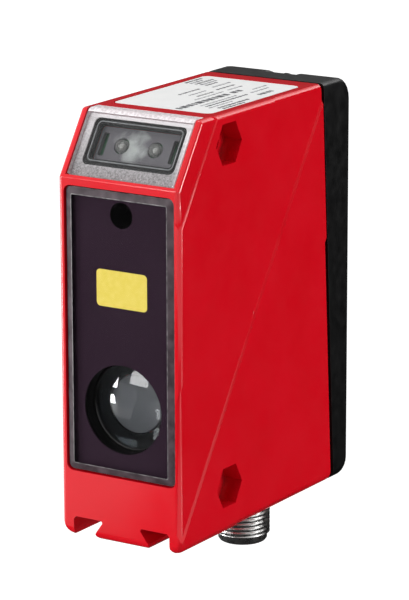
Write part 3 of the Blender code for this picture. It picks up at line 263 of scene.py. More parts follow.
def yellow_print():
    """Plain yellow field printed behind the glass."""
    made = Shader("yellow_print", (0.72, 0.58, 0.10), roughness=0.6, Specular_IOR_Level=0.1)
    made.tint(800, (0.70, 0.56, 0.09), (0.74, 0.60, 0.12))
    made.bump(3000, 2.0, depth=0.000002, strength=0.2)
    return made.material


def clear_plastic():
    """Clear moulding with a faintly cloudy skin."""
    made = Shader("clear_plastic", (0.08, 0.08, 0.08), roughness=0.08, Alpha=0.12, Specular_IOR_Level=0.8)
    made.tint(300, (0.05, 0.05, 0.05), (0.11, 0.11, 0.11), detail=4.0)
    made.rough(600, 0.05, 0.16)
    made.bump(500, 2.0, depth=0.00002, strength=0.3)
    return made.material


def frost_and_painted_highlight():
    """Milky bed under the rim of the window: grey and mottled below, with a painted highlight that turns it
    almost white along the top and along its right rim.
    """
    made = Shader("frost_and_painted_highlight", (0.36, 0.34, 0.35), roughness=0.45, Specular_IOR_Level=0.3)
    # Painted highlight: the bed's colour climbs to almost white towards the top and along the right rim
    made.rise_to_painted_highlight(FROST_HIGHLIGHT_HEIGHTS, FROST_RIM_HIGHLIGHT, (0.10, 0.095, 0.10), (0.88, 0.85, 0.87))
    made.rough(700, 0.3, 0.6)
    made.bump(1200, 3.0, depth=0.00002, strength=0.6)
    return made.material


def milk_and_painted_highlight():
    """The skin of the window where it turns onto the top, painted almost white as a highlight of the
    overhead light.
    """
    # Painted highlight: the top and sides of the clear window take a near-white colour
    made = Shader("milk_and_painted_highlight", (0.80, 0.77, 0.79), roughness=0.3, Alpha=0.85, Specular_IOR_Level=0.5)
    made.tint(1500, (0.62, 0.58, 0.60), (0.90, 0.87, 0.89), detail=5.0)
    made.rough(700, 0.22, 0.4)
    made.bump(1200, 3.0, depth=0.00002, strength=0.6)
    return made.material


def rubber():
    """Matt black seal with a fine grain."""
    made = Shader("seal_rubber", (0.010, 0.011, 0.012), roughness=0.62, Specular_IOR_Level=0.2)
    made.tint(500, (0.008, 0.009, 0.010), (0.014, 0.015, 0.016))
    made.rough(900, 0.5, 0.75)
    made.bump(2600, 3.0, depth=0.00003, strength=0.6)
    return made.material


def gasket_highlight_grey():
    """Grey cord that shows as a fine lighter line in the dark gasket, a painted highlight along the seal.
    """
    # Painted highlight: a lighter grey line inside the dark gasket
    made = Shader("gasket_highlight_grey", (0.22, 0.23, 0.24), roughness=0.4, Specular_IOR_Level=0.4)
    made.tint(700, (0.17, 0.18, 0.19), (0.28, 0.29, 0.30))
    made.rough(900, 0.3, 0.5)
    made.bump(2600, 3.0, depth=0.00001, strength=0.5)
    return made.material


def grey_tray():
    """Grey tray with a pale cloudy spot between the lamps, a painted pool of light."""
    made = Shader("tray_plastic", (0.13, 0.125, 0.14), roughness=0.4, Specular_IOR_Level=0.3)
    # Painted pool of light: a pale cloudy spot between the lamps
    made.painted_light_pool(TRAY_LIGHT_POOL, TRAY_LIGHT_POOL_REACH, (0.44, 0.47, 0.46), (0.125, 0.12, 0.135))
    made.rough(600, 0.3, 0.5)
    made.bump(2200, 3.0, depth=0.00001, strength=0.5)
    return made.material


def black_barrel():
    """Anodised barrel with fine turning marks round its axis."""
    made = Shader("barrel_black", (0.002, 0.002, 0.002), roughness=0.4, Specular_IOR_Level=0.02)
    made.tint(300, (0.0015, 0.0015, 0.0016), (0.0028, 0.0028, 0.0030))
    made.rough(500, 0.45, 0.6)
    made.bump(400, 2.0, depth=0.00003, strength=0.4, stretch=TURNED)
    return made.material


def black_ring():
    """Glossy black ring that holds the lens."""
    made = Shader("ring_black", (0.006, 0.006, 0.006), roughness=0.2, Specular_IOR_Level=0.5)
    made.rough(500, 0.16, 0.26)
    made.bump(400, 2.0, depth=0.00001, strength=0.3, stretch=TURNED)
    return made.material


def lens_glass():
    """Clear optical glass."""
    made = Shader("lens_glass", (0.97, 0.975, 0.98), roughness=0.0, Transmission_Weight=1.0, IOR=1.52)
    made.bump(60, 1.0, depth=0.000002, strength=0.1)
    return made.material


def coated_glass():
    """Back of the lens, coated so that it hardly mirrors."""
    made = Shader("lens_coated", (0.97, 0.975, 0.98), roughness=0.0, Transmission_Weight=1.0, IOR=1.52)
    made.set("Specular Tint", (0.1, 0.12, 0.14, 1.0))
    made.bump(60, 1.0, depth=0.000002, strength=0.1)
    return made.material


def grey_stop():
    """Pale filter disc behind the lens."""
    made = Shader("filter_grey", (0.074, 0.079, 0.087), roughness=0.35, Specular_IOR_Level=0.1)
    made.tint(120, (0.070, 0.075, 0.083), (0.080, 0.085, 0.094))
    made.rough(400, 0.3, 0.42)
    made.bump(2000, 2.0, depth=0.00001, strength=0.3)
    return made.material


def label_film():
    """White satin film of the label."""
    made = Shader("label_film", (0.84, 0.84, 0.84), roughness=0.38, Specular_IOR_Level=0.35)
    made.tint(160, (0.83, 0.835, 0.83), (0.855, 0.855, 0.85))
    made.rough(500, 0.32, 0.45)
    made.bump(1400, 3.0, depth=0.00002, strength=0.4)
    return made.material


def label_ink():
    """Near-black bars of the label, uneven as thin ink is."""
    made = Shader("label_ink", (0.06, 0.062, 0.068), roughness=0.5, Specular_IOR_Level=0.3)
    made.tint(2500, (0.035, 0.036, 0.042), (0.12, 0.123, 0.13))
    made.bump(3000, 2.0, depth=0.00001, strength=0.3)
    return made.material


def label_grey():
    """Paler bars of the label."""
    made = Shader("label_grey", (0.22, 0.22, 0.24), roughness=0.5, Specular_IOR_Level=0.3)
    made.tint(1800, (0.15, 0.15, 0.17), (0.32, 0.32, 0.34))
    made.bump(3000, 2.0, depth=0.00001, strength=0.3)
    return made.material


def nickel_plate():
    """Satin nickel on the turned connector."""
    made = Shader("nickel_plate", (0.58, 0.575, 0.565), roughness=0.2, metallic=1.0)
    made.tint(300, (0.55, 0.545, 0.535), (0.62, 0.615, 0.605))
    made.rough(900, 0.22, 0.36)
    made.bump(2600, 3.0, depth=0.00001, strength=0.3, stretch=PLATED)
    return made.material


def gold_plate():
    """Gold on the contacts."""
    made = Shader("gold_contact", (0.86, 0.62, 0.24), roughness=0.22, metallic=1.0)
    made.rough(1500, 0.16, 0.32)
    made.bump(4000, 2.0, depth=0.00001, strength=0.4)
    return made.material


def screw_steel():
    """Plain steel of the screws and the small metal cans."""
    made = Shader("screw_steel", (0.46, 0.46, 0.47), roughness=0.3, metallic=1.0)
    made.tint(900, (0.40, 0.40, 0.41), (0.52, 0.52, 0.53))
    made.rough(1800, 0.22, 0.42)
    made.bump(3500, 3.0, depth=0.00002, strength=0.5)
    return made.material


def tube_brass():
    """Turned brass of the laser tube."""
    made = Shader("tube_brass", (0.60, 0.45, 0.18), roughness=0.3, metallic=1.0)
    made.rough(900, 0.22, 0.42)
    made.bump(900, 2.0, depth=0.00002, strength=0.4, stretch=TUBE_TURNED)
    return made.material


def board_green():
    """Solder mask over a circuit board."""
    made = Shader("board_green", (0.012, 0.085, 0.035), roughness=0.35)
    made.tint(900, (0.010, 0.075, 0.030), (0.018, 0.115, 0.050))
    made.rough(700, 0.28, 0.45)
    made.bump(1500, 3.0, depth=0.00003, strength=0.4)
    return made.material


def ribbon_amber():
    """Amber film of the ribbons."""
    made = Shader("ribbon_amber", (0.45, 0.17, 0.025), roughness=0.3)
    made.tint(600, (0.40, 0.14, 0.020), (0.50, 0.20, 0.032))
    made.rough(500, 0.22, 0.4)
    made.bump(2000, 2.0, depth=0.00002, strength=0.4)
    return made.material


def lamp_resin():
    """Milky lamp body with a pale core."""
    made = Shader("lamp_resin", (0.30, 0.30, 0.30), roughness=0.10, Alpha=0.4, Specular_IOR_Level=1.0)
    made.rough(900, 0.06, 0.2)
    made.bump(1500, 2.0, depth=0.00001, strength=0.3)
    return made.material


def lamp_core():
    """Pale chip and bond inside a lamp."""
    made = Shader("lamp_core", (0.62, 0.64, 0.60), roughness=0.35)
    made.tint(1500, (0.50, 0.52, 0.48), (0.74, 0.76, 0.72))
    made.bump(3000, 2.0, depth=0.00001, strength=0.3)
    return made.material


RED = red_enamel()
BLACK = black_plastic()
GLASS = pane_glass()
PRINT = pane_print()
MARGIN = pane_margin()
EDGE_HIGHLIGHT = pane_edge_highlight()
YELLOW = yellow_print()
CLEAR = clear_plastic()
FROST_AND_HIGHLIGHT = frost_and_painted_highlight()
MILK_AND_HIGHLIGHT = milk_and_painted_highlight()
BEAD_HIGHLIGHT = gasket_highlight_grey()
RUBBER = rubber()
TRAY = grey_tray()
BARREL = black_barrel()
RING = black_ring()
LENS = lens_glass()
COATED = coated_glass()
STOP = grey_stop()
FILM = label_film()
INK = label_ink()
GREY_INK = label_grey()
NICKEL = nickel_plate()
GOLD = gold_plate()
STEEL = screw_steel()
BRASS = tube_brass()
GREEN = board_green()
AMBER = ribbon_amber()
LAMP = lamp_resin()
CORE = lamp_core()


# Meshes

# Edges sharper than this, in degrees, are eased, or kept sharp where nothing is eased
SHARP_ANGLE = 35.0
SHARP_ON_CURVES = 50.0

# Points of a solid closer than this, in millimetres, are one
MERGE_DISTANCE = 0.0005

# Faces at less than this to each other are joined, in a solid and in a flat piece
FLAT_ANGLE = math.radians(0.3)
FLAT_PIECE_ANGLE = math.radians(0.5)

# How far the large faces beside an eased edge set its shading, from 1 to 100
LARGE_FACE_WEIGHT = 80

# Share of a normal along an axis above which a face looks that way
LOOKS_ALONG = 0.9

# Where the point (a, b) of an outline lies at the distance t along the axis of a flat piece
PLACES = {
    "X": lambda a, b, t: Vector((t, a, b)),
    "Y": lambda a, b, t: Vector((a, t, b)),
    "Z": lambda a, b, t: Vector((a, b, t)),
    "SLANT": on_slant,
}


def rounded(a0, a1, b0, b1, radius, steps=6):
    """Outline of a rectangle whose corners are arcs of so many steps."""
    left, right = a0 + radius, a1 - radius
    bottom, top = b0 + radius, b1 - radius
    points = []
    for quarter, (a, b) in enumerate(((left, bottom), (right, bottom), (right, top), (left, top)), 2):
        for k in range(steps + 1):
            turn = (quarter + k / steps) * math.pi / 2
            points.append((a + radius * math.cos(turn), b + radius * math.sin(turn)))
    return points


def circle(a, b, radius, steps):
    """Outline of a circle."""
    turns = [2 * math.pi * k / steps for k in range(steps)]
    return [(a + radius * math.cos(turn), b + radius * math.sin(turn)) for turn in turns]


def finish_piece(name, bm, mat, slot, replaces=(), bevel=0.0, segments=2, angle=SHARP_ANGLE):
    """Makes an object of a bmesh in millimetres, eases its edges and hangs it on the body."""
    bmesh.ops.recalc_face_normals(bm, faces=bm.faces)
    bmesh.ops.transform(bm, matrix=Matrix.Scale(MM, 4), verts=bm.verts)
    mesh = bpy.data.meshes.new(name)
    bm.to_mesh(mesh)
    bm.free()
    mesh.shade_smooth()
    mesh.materials.append(mat)
    piece = bpy.data.objects.new(name, mesh)
    bpy.context.scene.collection.objects.link(piece)
    if bevel:
        ease = piece.modifiers.new("eased_edges", "BEVEL")
        ease.width = bevel * MM
        ease.segments = segments
        ease.limit_method = "ANGLE"
        ease.angle_limit = math.radians(angle)
        ease.use_clamp_overlap = True
        weights = piece.modifiers.new("face_weights", "WEIGHTED_NORMAL")
        weights.keep_sharp = True
        weights.weight = LARGE_FACE_WEIGHT
    else:
        mesh.set_sharp_from_angle(angle=math.radians(angle))
    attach(piece, "root")
    if replaces:
        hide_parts(*replaces)
    return piece


def node_mesh(node):
    """A clean copy of a solid's mesh in millimetres, its flat faces joined."""
    bm = bmesh.new()
    bm.from_mesh(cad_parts[node].data)
    bmesh.ops.transform(bm, matrix=Matrix.Scale(1 / MM, 4), verts=bm.verts)
    bmesh.ops.remove_doubles(bm, verts=bm.verts, dist=MERGE_DISTANCE)
    bmesh.ops.dissolve_limit(bm, angle_limit=FLAT_ANGLE, verts=bm.verts, edges=bm.edges)
    return bm


def dress(node, mat, slot, bevel, segments=2):
    """A solid with eased edges in place of the plain one."""
    finish_piece(f"{node}_dressed", node_mesh(node), mat, slot, replaces=(node,), bevel=bevel,
                 segments=segments)


def paint(node, mat):
    """A solid whose shape is right keeps its mesh and takes a finished material."""
    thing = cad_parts[node]
    thing.data.materials.clear()
    thing.data.materials.append(mat)


def flat_piece(name, outline, axis, start, end, mat, slot, holes=(), **options):
    """A flat piece with round or shaped holes, extruded along an axis."""
    place = PLACES[axis]
    bm = bmesh.new()
    edges = []
    for loop in (outline, *holes):
        verts = [bm.verts.new(place(a, b, start)) for a, b in loop]
        edges += [bm.edges.new((verts[i], verts[(i + 1) % len(verts)])) for i in range(len(verts))]
    bmesh.ops.triangle_fill(bm, use_beauty=True, use_dissolve=False, edges=edges)
    bmesh.ops.dissolve_limit(bm, angle_limit=FLAT_PIECE_ANGLE, verts=bm.verts, edges=bm.edges)
    grown = bmesh.ops.extrude_face_region(bm, geom=bm.faces[:])
    moved = [v for v in grown["geom"] if isinstance(v, bmesh.types.BMVert)]
    bmesh.ops.translate(bm, verts=moved, vec=place(0, 0, end) - place(0, 0, start))
    finish_piece(name, bm, mat, slot, **options)


def lathe(name, profile, matrix, mat, slot, steps, wave=None, **options):
    """Revolves a closed profile of (radius, height); wave changes a radius by its height and turn."""
    bm = bmesh.new()
    poles = {i: bm.verts.new((0, 0, height)) for i, (radius, height) in enumerate(profile) if radius == 0}
    columns = []
    for k in range(steps):
        turn = 2 * math.pi * k / steps
        column = []
        for i, (radius, height) in enumerate(profile):
            if i in poles:
                column.append(poles[i])
                continue
            reach = radius + (wave(radius, height, turn) if wave else 0.0)
            column.append(bm.verts.new((reach * math.cos(turn), reach * math.sin(turn), height)))
        columns.append(column)
    for here, there in zip(columns, columns[1:] + columns[:1]):
        for i in range(len(profile)):
            j = (i + 1) % len(profile)
            corners = list(dict.fromkeys((here[i], here[j], there[j], there[i])))
            if len(corners) > 2:
                bm.faces.new(corners)
    bmesh.ops.transform(bm, matrix=matrix, verts=bm.verts)
    return finish_piece(name, bm, mat, slot, **options)


# Body

dress("housing", RED, "red_enamel", bevel=0.2, segments=3)
dress("rear_cover", BLACK, "black_plastic", bevel=0.2)

# Front pane: a clear face, a ground bevel and a fine line on both edges of the bevel, painted lighter as a
# highlight; a face whose normal is less square to the front than PANE_SQUARE belongs to the bevel

PANE_FACE, PANE_GROUND, PANE_HIGHLIGHT_LINE = 0, 1, 2
PANE_SQUARE = 0.999
PANE_EDGE_ANGLE = 12.0
bm = node_mesh("front_glass")
for face in bm.faces:
    face.material_index = PANE_FACE if abs(face.normal.y) >= PANE_SQUARE else PANE_GROUND
pane = finish_piece("front_glass_dressed", bm, GLASS, "pane_glass", replaces=("front_glass",),
                    bevel=0.1, segments=1, angle=PANE_EDGE_ANGLE)
pane.data.materials.append(MARGIN)
pane.data.materials.append(EDGE_HIGHLIGHT)
pane.modifiers["eased_edges"].material = PANE_HIGHLIGHT_LINE

# Dark print behind the pane with an aperture for each lens, and a plain yellow field in front of it

PRINT_INSET = 0.15
PRINT_CORNER = 1.1
PRINT_DEPTHS = (0.06, 0.2)
RECEIVER_APERTURE = 9.5
EMITTER_APERTURE = 2.75
MARK_HALF = 6.2
MARK_FOOT, MARK_HEAD = 50.6, 58.4
MARK_CORNER = 0.9
MARK_DEPTHS = (0.02, 0.05)
pane_low, pane_high = box_mm("front_glass")
plate = rounded(pane_low.x + PRINT_INSET, pane_high.x - PRINT_INSET, pane_low.z + PRINT_INSET,
                pane_high.z - PRINT_INSET, PRINT_CORNER)
apertures = [
    circle(0.0, RECEIVER_Z, RECEIVER_APERTURE, steps=64),
    circle(0.0, EMITTER_Z, EMITTER_APERTURE, steps=40),
]
near, far = (pane_high.y + depth for depth in PRINT_DEPTHS)
flat_piece("front_print", plate, "Y", near, far, PRINT, "black_plastic", apertures)
mark = rounded(-MARK_HALF, MARK_HALF, MARK_FOOT, MARK_HEAD, MARK_CORNER)
near, far = (pane_high.y + depth for depth in MARK_DEPTHS)
flat_piece("plain_mark", mark, "Y", near, far, YELLOW, "label_film")

# Receiver and emitter; their profiles are (radius, depth behind the front face)

LENS_RADIUS = 9.5
LENS_SPHERE = 20.0
LENS_APEX, LENS_BACK = 3.0, 7.2
LENS_STEPS = 40
LENS_CLEAR, LENS_COATED = 0, 1
BARREL_PROFILE = [
    (9.9, 2.4), (10.0, 2.3), (10.6, 2.3), (10.7, 2.4),
    (10.7, 11.3), (5.9, 11.3), (5.9, 7.5), (9.9, 7.5),
]
RETAINER_PROFILE = [(9.2, 4.75), (9.35, 4.6), (9.85, 4.6), (9.85, 5.15), (9.3, 5.15), (9.2, 5.05)]
LINER_PROFILE = [
    (2.8, 1.25), (4.0, 1.25), (4.0, 1.4), (2.94, 1.4),
    (2.94, 7.0), (1.3, 7.0), (1.3, 6.85), (2.8, 6.85),
]


def behind(height):
    """Local Z points back into the body from the front face, at this height."""
    return Matrix.Translation((0, FRONT, height)) @ Matrix.Rotation(math.radians(-90), 4, "X")


lens_profile = []
for k in range(LENS_STEPS + 1):
    reach = LENS_RADIUS * k / LENS_STEPS
    lens_profile.append((reach, LENS_APEX + LENS_SPHERE - math.sqrt(LENS_SPHERE ** 2 - reach ** 2)))
lens_profile += [(LENS_RADIUS, LENS_BACK), (0, LENS_BACK)]
lens = lathe("receiver_lens_dressed", lens_profile, behind(RECEIVER_Z), LENS, "lens_glass", steps=128,
             replaces=("receiver_lens",))
lens.data.materials.append(COATED)
for face in lens.data.polygons:
    face.material_index = LENS_COATED if face.normal.y > LOOKS_ALONG else LENS_CLEAR
lathe("receiver_barrel_dressed", BARREL_PROFILE, behind(RECEIVER_Z), BARREL, "black_plastic", steps=128,
      replaces=("receiver_barrel",))
lathe("lens_retainer", RETAINER_PROFILE, behind(RECEIVER_Z), RING, "black_plastic", steps=128)
dress("receiver_filter", STOP, "filter_glass", bevel=0.08)
lathe("emitter_liner", LINER_PROFILE, behind(EMITTER_Z), BARREL, "black_plastic", steps=64)

# Indicator window: clear on the slanted face, milky along the top and the sides, with a near-white painted
# highlight on the top

WINDOW_CLEAR, WINDOW_MILKY_HIGHLIT = 0, 1
TOP_EDGE_NORMAL = 0.6
TOP_EDGE_DEPTH = 0.5


def on_window_top(face):
    """Whether a face of the window is its top or the turn just below it."""
    turned = face.normal.z > TOP_EDGE_NORMAL and face.calc_center_median().z > HEIGHT - TOP_EDGE_DEPTH
    return face.normal.z > LOOKS_ALONG or turned


bm = node_mesh("indicator_window")
for face in bm.faces:
    milk_or_highlight_face = on_window_top(face) or abs(face.normal.x) > LOOKS_ALONG
    face.material_index = WINDOW_MILKY_HIGHLIT if milk_or_highlight_face else WINDOW_CLEAR
window = finish_piece("indicator_window_dressed", bm, CLEAR, "clear_plastic",
                      replaces=("indicator_window",), bevel=0.2, segments=3)
window.data.materials.append(MILK_AND_HIGHLIGHT)
dress("indicator_gasket", RUBBER, "seal_rubber", bevel=0.06)

# Bed under the window's rim, on the slanted face and along the top; the profile of the second is
# (distance behind the front face, height from the top)

BED_HALF = 12.99
BED_FOOT, BED_HEAD = 1.02, 15.13
BED_CORNER = 0.3
BED_HOLE_HALF = 11.25
BED_HOLE_FOOT, BED_HOLE_HEAD = 3.8, 14.4
BED_HOLE_CORNER = 1.3
BED_BOTTOM, BED_TOP = -1.45, -1.205
TOP_BED_PROFILE = ((9.445, BED_TOP), (12.05, BED_TOP), (12.05, -2.37), (10.6, -2.37), (9.66, -1.305))
bed = rounded(-BED_HALF, BED_HALF, BED_FOOT, BED_HEAD, BED_CORNER)
hole = rounded(-BED_HOLE_HALF, BED_HOLE_HALF, BED_HOLE_FOOT, BED_HOLE_HEAD, BED_HOLE_CORNER)
flat_piece("window_bed", bed, "SLANT", BED_BOTTOM, BED_TOP, FROST_AND_HIGHLIGHT, "clear_plastic", [hole])
top_bed = [(FRONT + back, HEIGHT + out) for back, out in TOP_BED_PROFILE]
flat_piece("window_wrap_bed", top_bed, "X", -BED_HALF, BED_HALF, FROST_AND_HIGHLIGHT, "clear_plastic")

# Grey cord of the gasket, painted as the highlight along the seal, round the opening over the tray

OPENING_HALF = 10.2
OPENING_FOOT, OPENING_HEAD = 5.1, 13.5
CORD_OUTER, CORD_INNER = 0.3, 0.06
CORD_CORNER = 0.8
CORD_BOTTOM, CORD_TOP = -1.5, -1.38


def round_opening(grow, corner):
    """Outline that is so much wider than the opening, all round."""
    half = OPENING_HALF + grow
    return rounded(-half, half, OPENING_FOOT - grow, OPENING_HEAD + grow, corner)


cord = [round_opening(grow, CORD_CORNER + grow) for grow in (CORD_OUTER, CORD_INNER)]
flat_piece("gasket_highlight_bead", cord[0], "SLANT", CORD_BOTTOM, CORD_TOP, BEAD_HIGHLIGHT, "seal_rubber", cord[1:],
           angle=SHARP_ON_CURVES)

# Pale chips inside the two lamps; their profile is (radius, height)

CORE_X = 4.1
CORE_ALONG, CORE_OUT = 9.3, -3.7
CORE_PROFILE = [(0, 0), (0.7, 0), (0.7, 0.5), (0.55, 0.85), (0.3, 1.0), (0, 1.05)]
for hand, x in (("left", -CORE_X), ("right", CORE_X)):
    place = Matrix.Translation(on_slant(x, CORE_ALONG, CORE_OUT)) @ Matrix.Rotation(SLOPE, 4, "X")
    lathe(f"lamp_core_{hand}", CORE_PROFILE, place, CORE, "clear_plastic", steps=32)

# Black skirt of the gasket, just inside the opening and down to the tray

SKIRT_OUTER, SKIRT_INNER = -0.03, -0.24
SKIRT_CORNER = 0.75
SKIRT_BOTTOM, SKIRT_TOP = -2.88, -1.52
skirt = [round_opening(grow, SKIRT_CORNER) for grow in (SKIRT_OUTER, SKIRT_INNER)]
flat_piece("gasket_skirt", skirt[0], "SLANT", SKIRT_BOTTOM, SKIRT_TOP, RUBBER, "seal_rubber", skirt[1:],
           angle=SHARP_ON_CURVES)

# Label with rows of plain bars

dress("type_label", FILM, "label_film", bevel=0.05)

# Lengths that the bars take in turn, and the gap between two; wider rows have coarser ones
BAR_LENGTHS = (0.95, 0.55, 1.15, 0.8, 0.45, 1.3, 0.7)
BAR_GAP = 0.34
BAR_BASE, BAR_GROWTH = 0.7, 0.6
BAR_CORNER = 0.1
INK_BOTTOM, INK_TOP = 0.002, 0.03

# Across from and to, distance behind the front face from and to, ink
LABEL_ROWS = (
    (2.75, 4.35, 17.0, 37.0, INK),
    (2.85, 4.25, 37.8, 42.0, INK),
    (5.6, 6.1, 22.0, 36.5, GREY_INK),
    (6.85, 7.5, 22.0, 38.0, INK),
    (8.3, 8.8, 21.0, 30.0, GREY_INK),
    (9.75, 10.5, 22.0, 34.0, INK),
    (11.0, 11.6, 22.0, 31.0, INK),
    (8.9, 10.0, 39.0, 45.0, INK),
    (6.6, 7.2, 40.0, 47.0, GREY_INK),
    (-5.0, -4.4, 30.0, 38.0, INK),
    (-2.7, -2.15, 30.5, 37.0, GREY_INK),
    (-0.7, -0.15, 30.5, 37.0, INK),
    (1.0, 1.5, 27.0, 38.0, GREY_INK),
    (-1.3, -0.7, 39.0, 46.0, INK),
    (0.9, 1.4, 40.0, 46.0, GREY_INK),
    (-11.2, -10.5, 42.0, 49.0, INK),
    (-9.9, -9.2, 42.0, 47.5, GREY_INK),
    (-8.6, -7.9, 42.0, 49.0, INK),
    (-7.3, -6.6, 42.0, 48.2, GREY_INK),
    (-6.0, -5.3, 42.0, 46.4, INK),
    (-3.6, -3.0, 41.0, 48.0, GREY_INK),
    (4.9, 5.4, 43.5, 49.0, GREY_INK),
)
label_top = box_mm("type_label")[1].z
for row, (x0, x1, start, end, ink) in enumerate(LABEL_ROWS, 1):
    coarse = BAR_BASE + BAR_GROWTH * (x1 - x0)
    here = start
    bars = []
    while here < end - BAR_GAP * coarse:
        there = min(end, here + BAR_LENGTHS[(row + len(bars)) % len(BAR_LENGTHS)] * coarse)
        bars.append(rounded(x0, x1, FRONT + here, FRONT + there, BAR_CORNER, steps=2))
        here = there + BAR_GAP * coarse
    flat_piece(f"label_row_{row}", bars[0], "Z", label_top + INK_BOTTOM, label_top + INK_TOP, ink,
               "label_film", bars[1:])

# Screws of the rear cover

for number in range(1, 5):
    dress(f"cover_screw_{number}", STEEL, "screw_steel", bevel=0.08)

# Connector; its profile is (radius, height from the underside of the lug)

THREAD_RADIUS = 6.0
THREAD_PITCH = 1.0
THREAD_DEPTH = 0.17
THREAD_FOOT, THREAD_HEAD = -9.9, 0.4
THREAD_FADE = 0.6
THREAD_STEP = 0.1

# From a crest, 0, to the root, 1: where the groove starts, and over how much it reaches its depth
GROOVE_START, GROOVE_RAMP = 0.36, 0.56


def thread_wave(radius, height, turn):
    """Depth of a helical thread below its outer diameter, fading out at both ends."""
    if radius < THREAD_RADIUS or not THREAD_FOOT <= height <= THREAD_HEAD:
        return 0.0
    phase = (height / THREAD_PITCH - turn / (2 * math.pi)) % 1.0
    from_crest = 1.0 - abs(2.0 * phase - 1.0)
    groove = min(1.0, max(0.0, (from_crest - GROOVE_START) / GROOVE_RAMP))
    fade = min(1.0, (height - THREAD_FOOT) / THREAD_FADE, (THREAD_HEAD - height) / THREAD_FADE)
    return -THREAD_DEPTH * groove * max(0.0, fade)


thread_steps = round((THREAD_HEAD - THREAD_FOOT) / THREAD_STEP)
nose = [(4.3, -11.9), (4.75, -11.9), (5.1, -11.72), (5.4, -11.3), (5.4, -10.15), (5.5, -10.0)]
thread = [(THREAD_RADIUS, THREAD_FOOT + THREAD_STEP * k) for k in range(thread_steps + 1)]
flange = [(THREAD_RADIUS, 8.2), (7.0, 8.2), (7.0, 9.8), (5.3, 9.8)]
bore = [(5.3, -3.4), (4.3, -3.4)]
lathe("connector_shell_dressed", nose + thread + flange + bore, Matrix.Translation((0, CONNECTOR_Y, 0)),
      NICKEL, "nickel_plate", steps=96, wave=thread_wave, replaces=("connector_shell",),
      angle=SHARP_ON_CURVES)
dress("contact_carrier", BLACK, "black_plastic", bevel=0.08)
for number in range(1, 6):
    dress(f"contact_pin_{number}", GOLD, "gold_contact", bevel=0.05)

# Solids whose own mesh is right as it is

PAINTED = {
    "rear_gasket": RUBBER,
    "front_seal": RUBBER,
    "connector_o_ring": RUBBER,
    "indicator_tray": TRAY,
    "indicator_board": GREEN,
    "indicator_led_left": LAMP,
    "indicator_led_right": LAMP,
    "laser_tube": BRASS,
    "collimator_lens": LENS,
    "laser_diode": STEEL,
    "optics_carrier": BARREL,
    "line_sensor": BARREL,
    "sensor_board": GREEN,
    "main_board": GREEN,
    "board_screw_1": STEEL,
    "board_screw_2": STEEL,
    "board_screw_3": STEEL,
    "board_screw_4": STEEL,
    "processor_chip": BLACK,
    "power_inductor": BLACK,
    "power_capacitor": STEEL,
    "ribbon_socket": FILM,
    "sensor_ribbon": AMBER,
    "connector_ribbon": AMBER,
}
for node, mat in PAINTED.items():
    paint(node, mat)


# Floor, world, lamps and camera

# Point that the lamps and cards face and keep their distance from, in metres
CENTRE = (0.0, 0.012, 0.045)
WORLD_FILL = 0.38
FLOOR_HEIGHT = -0.12
FLOOR_REACH = 3.0
FLOOR_GREY = 0.60

# Light of the floor where it is seen, from its middle outwards, and the distances in metres
GLOW_NEAR, GLOW_FAR = 0.55, 0.9
GLOW_START, GLOW_END = 0.2, 1.2


def larger(tree, first, second):
    """The larger of two values."""
    made = tree.nodes.new("ShaderNodeMath")
    made.operation = "MAXIMUM"
    tree.links.new(first, made.inputs[0])
    tree.links.new(second, made.inputs[1])
    return made.outputs["Value"]


def white_where_seen(tree, lit, white):
    """Mixes two shaders so that camera, glossy and transmission rays meet the white one."""
    path = tree.nodes.new("ShaderNodeLightPath")
    seen = larger(tree, path.outputs["Is Camera Ray"], path.outputs["Is Glossy Ray"])
    seen = larger(tree, seen, path.outputs["Is Transmission Ray"])
    mix = tree.nodes.new("ShaderNodeMixShader")
    tree.links.new(seen, mix.inputs["Fac"])
    tree.links.new(lit, mix.inputs[1])
    tree.links.new(white, mix.inputs[2])
    return mix.outputs["Shader"]


def background(tree, strength):
    """A white background of this strength."""
    made = tree.nodes.new("ShaderNodeBackground")
    made.inputs["Color"].default_value = (1.0, 1.0, 1.0, 1.0)
    made.inputs["Strength"].default_value = strength
    return made.outputs["Background"]


def make_world():
    """Studio that looks white and gives a weaker fill light."""
    world = bpy.data.worlds.new("studio")
    world.use_nodes = True
    bpy.context.scene.world = world
    tree = world.node_tree
    tree.nodes.clear()
    out = tree.nodes.new("ShaderNodeOutputWorld")
    surface = white_where_seen(tree, background(tree, WORLD_FILL), background(tree, 1.0))
    tree.links.new(surface, out.inputs["Surface"])


def floor_material():
    """Grey under the light, and near white where it is seen, more so further out."""
    mat = bpy.data.materials.new("floor_white")
    mat.use_nodes = True
    tree = mat.node_tree
    tree.nodes.clear()
    lit = tree.nodes.new("ShaderNodeBsdfDiffuse")
    lit.inputs["Color"].default_value = (FLOOR_GREY, FLOOR_GREY, FLOOR_GREY, 1.0)
    place = tree.nodes.new("ShaderNodeTexCoord")
    away = tree.nodes.new("ShaderNodeVectorMath")
    away.operation = "LENGTH"
    tree.links.new(place.outputs["Object"], away.inputs[0])
    fade = tree.nodes.new("ShaderNodeMapRange")
    fade.inputs["From Min"].default_value = GLOW_START
    fade.inputs["From Max"].default_value = GLOW_END
    fade.inputs["To Min"].default_value = GLOW_NEAR
    fade.inputs["To Max"].default_value = GLOW_FAR
    tree.links.new(away.outputs["Value"], fade.inputs["Value"])
    glow = tree.nodes.new("ShaderNodeEmission")
    tree.links.new(fade.outputs["Result"], glow.inputs["Strength"])
    both = tree.nodes.new("ShaderNodeAddShader")
    tree.links.new(lit.outputs[0], both.inputs[0])
    tree.links.new(glow.outputs[0], both.inputs[1])
    out = tree.nodes.new("ShaderNodeOutputMaterial")
    tree.links.new(white_where_seen(tree, lit.outputs[0], both.outputs[0]), out.inputs["Surface"])
    return mat


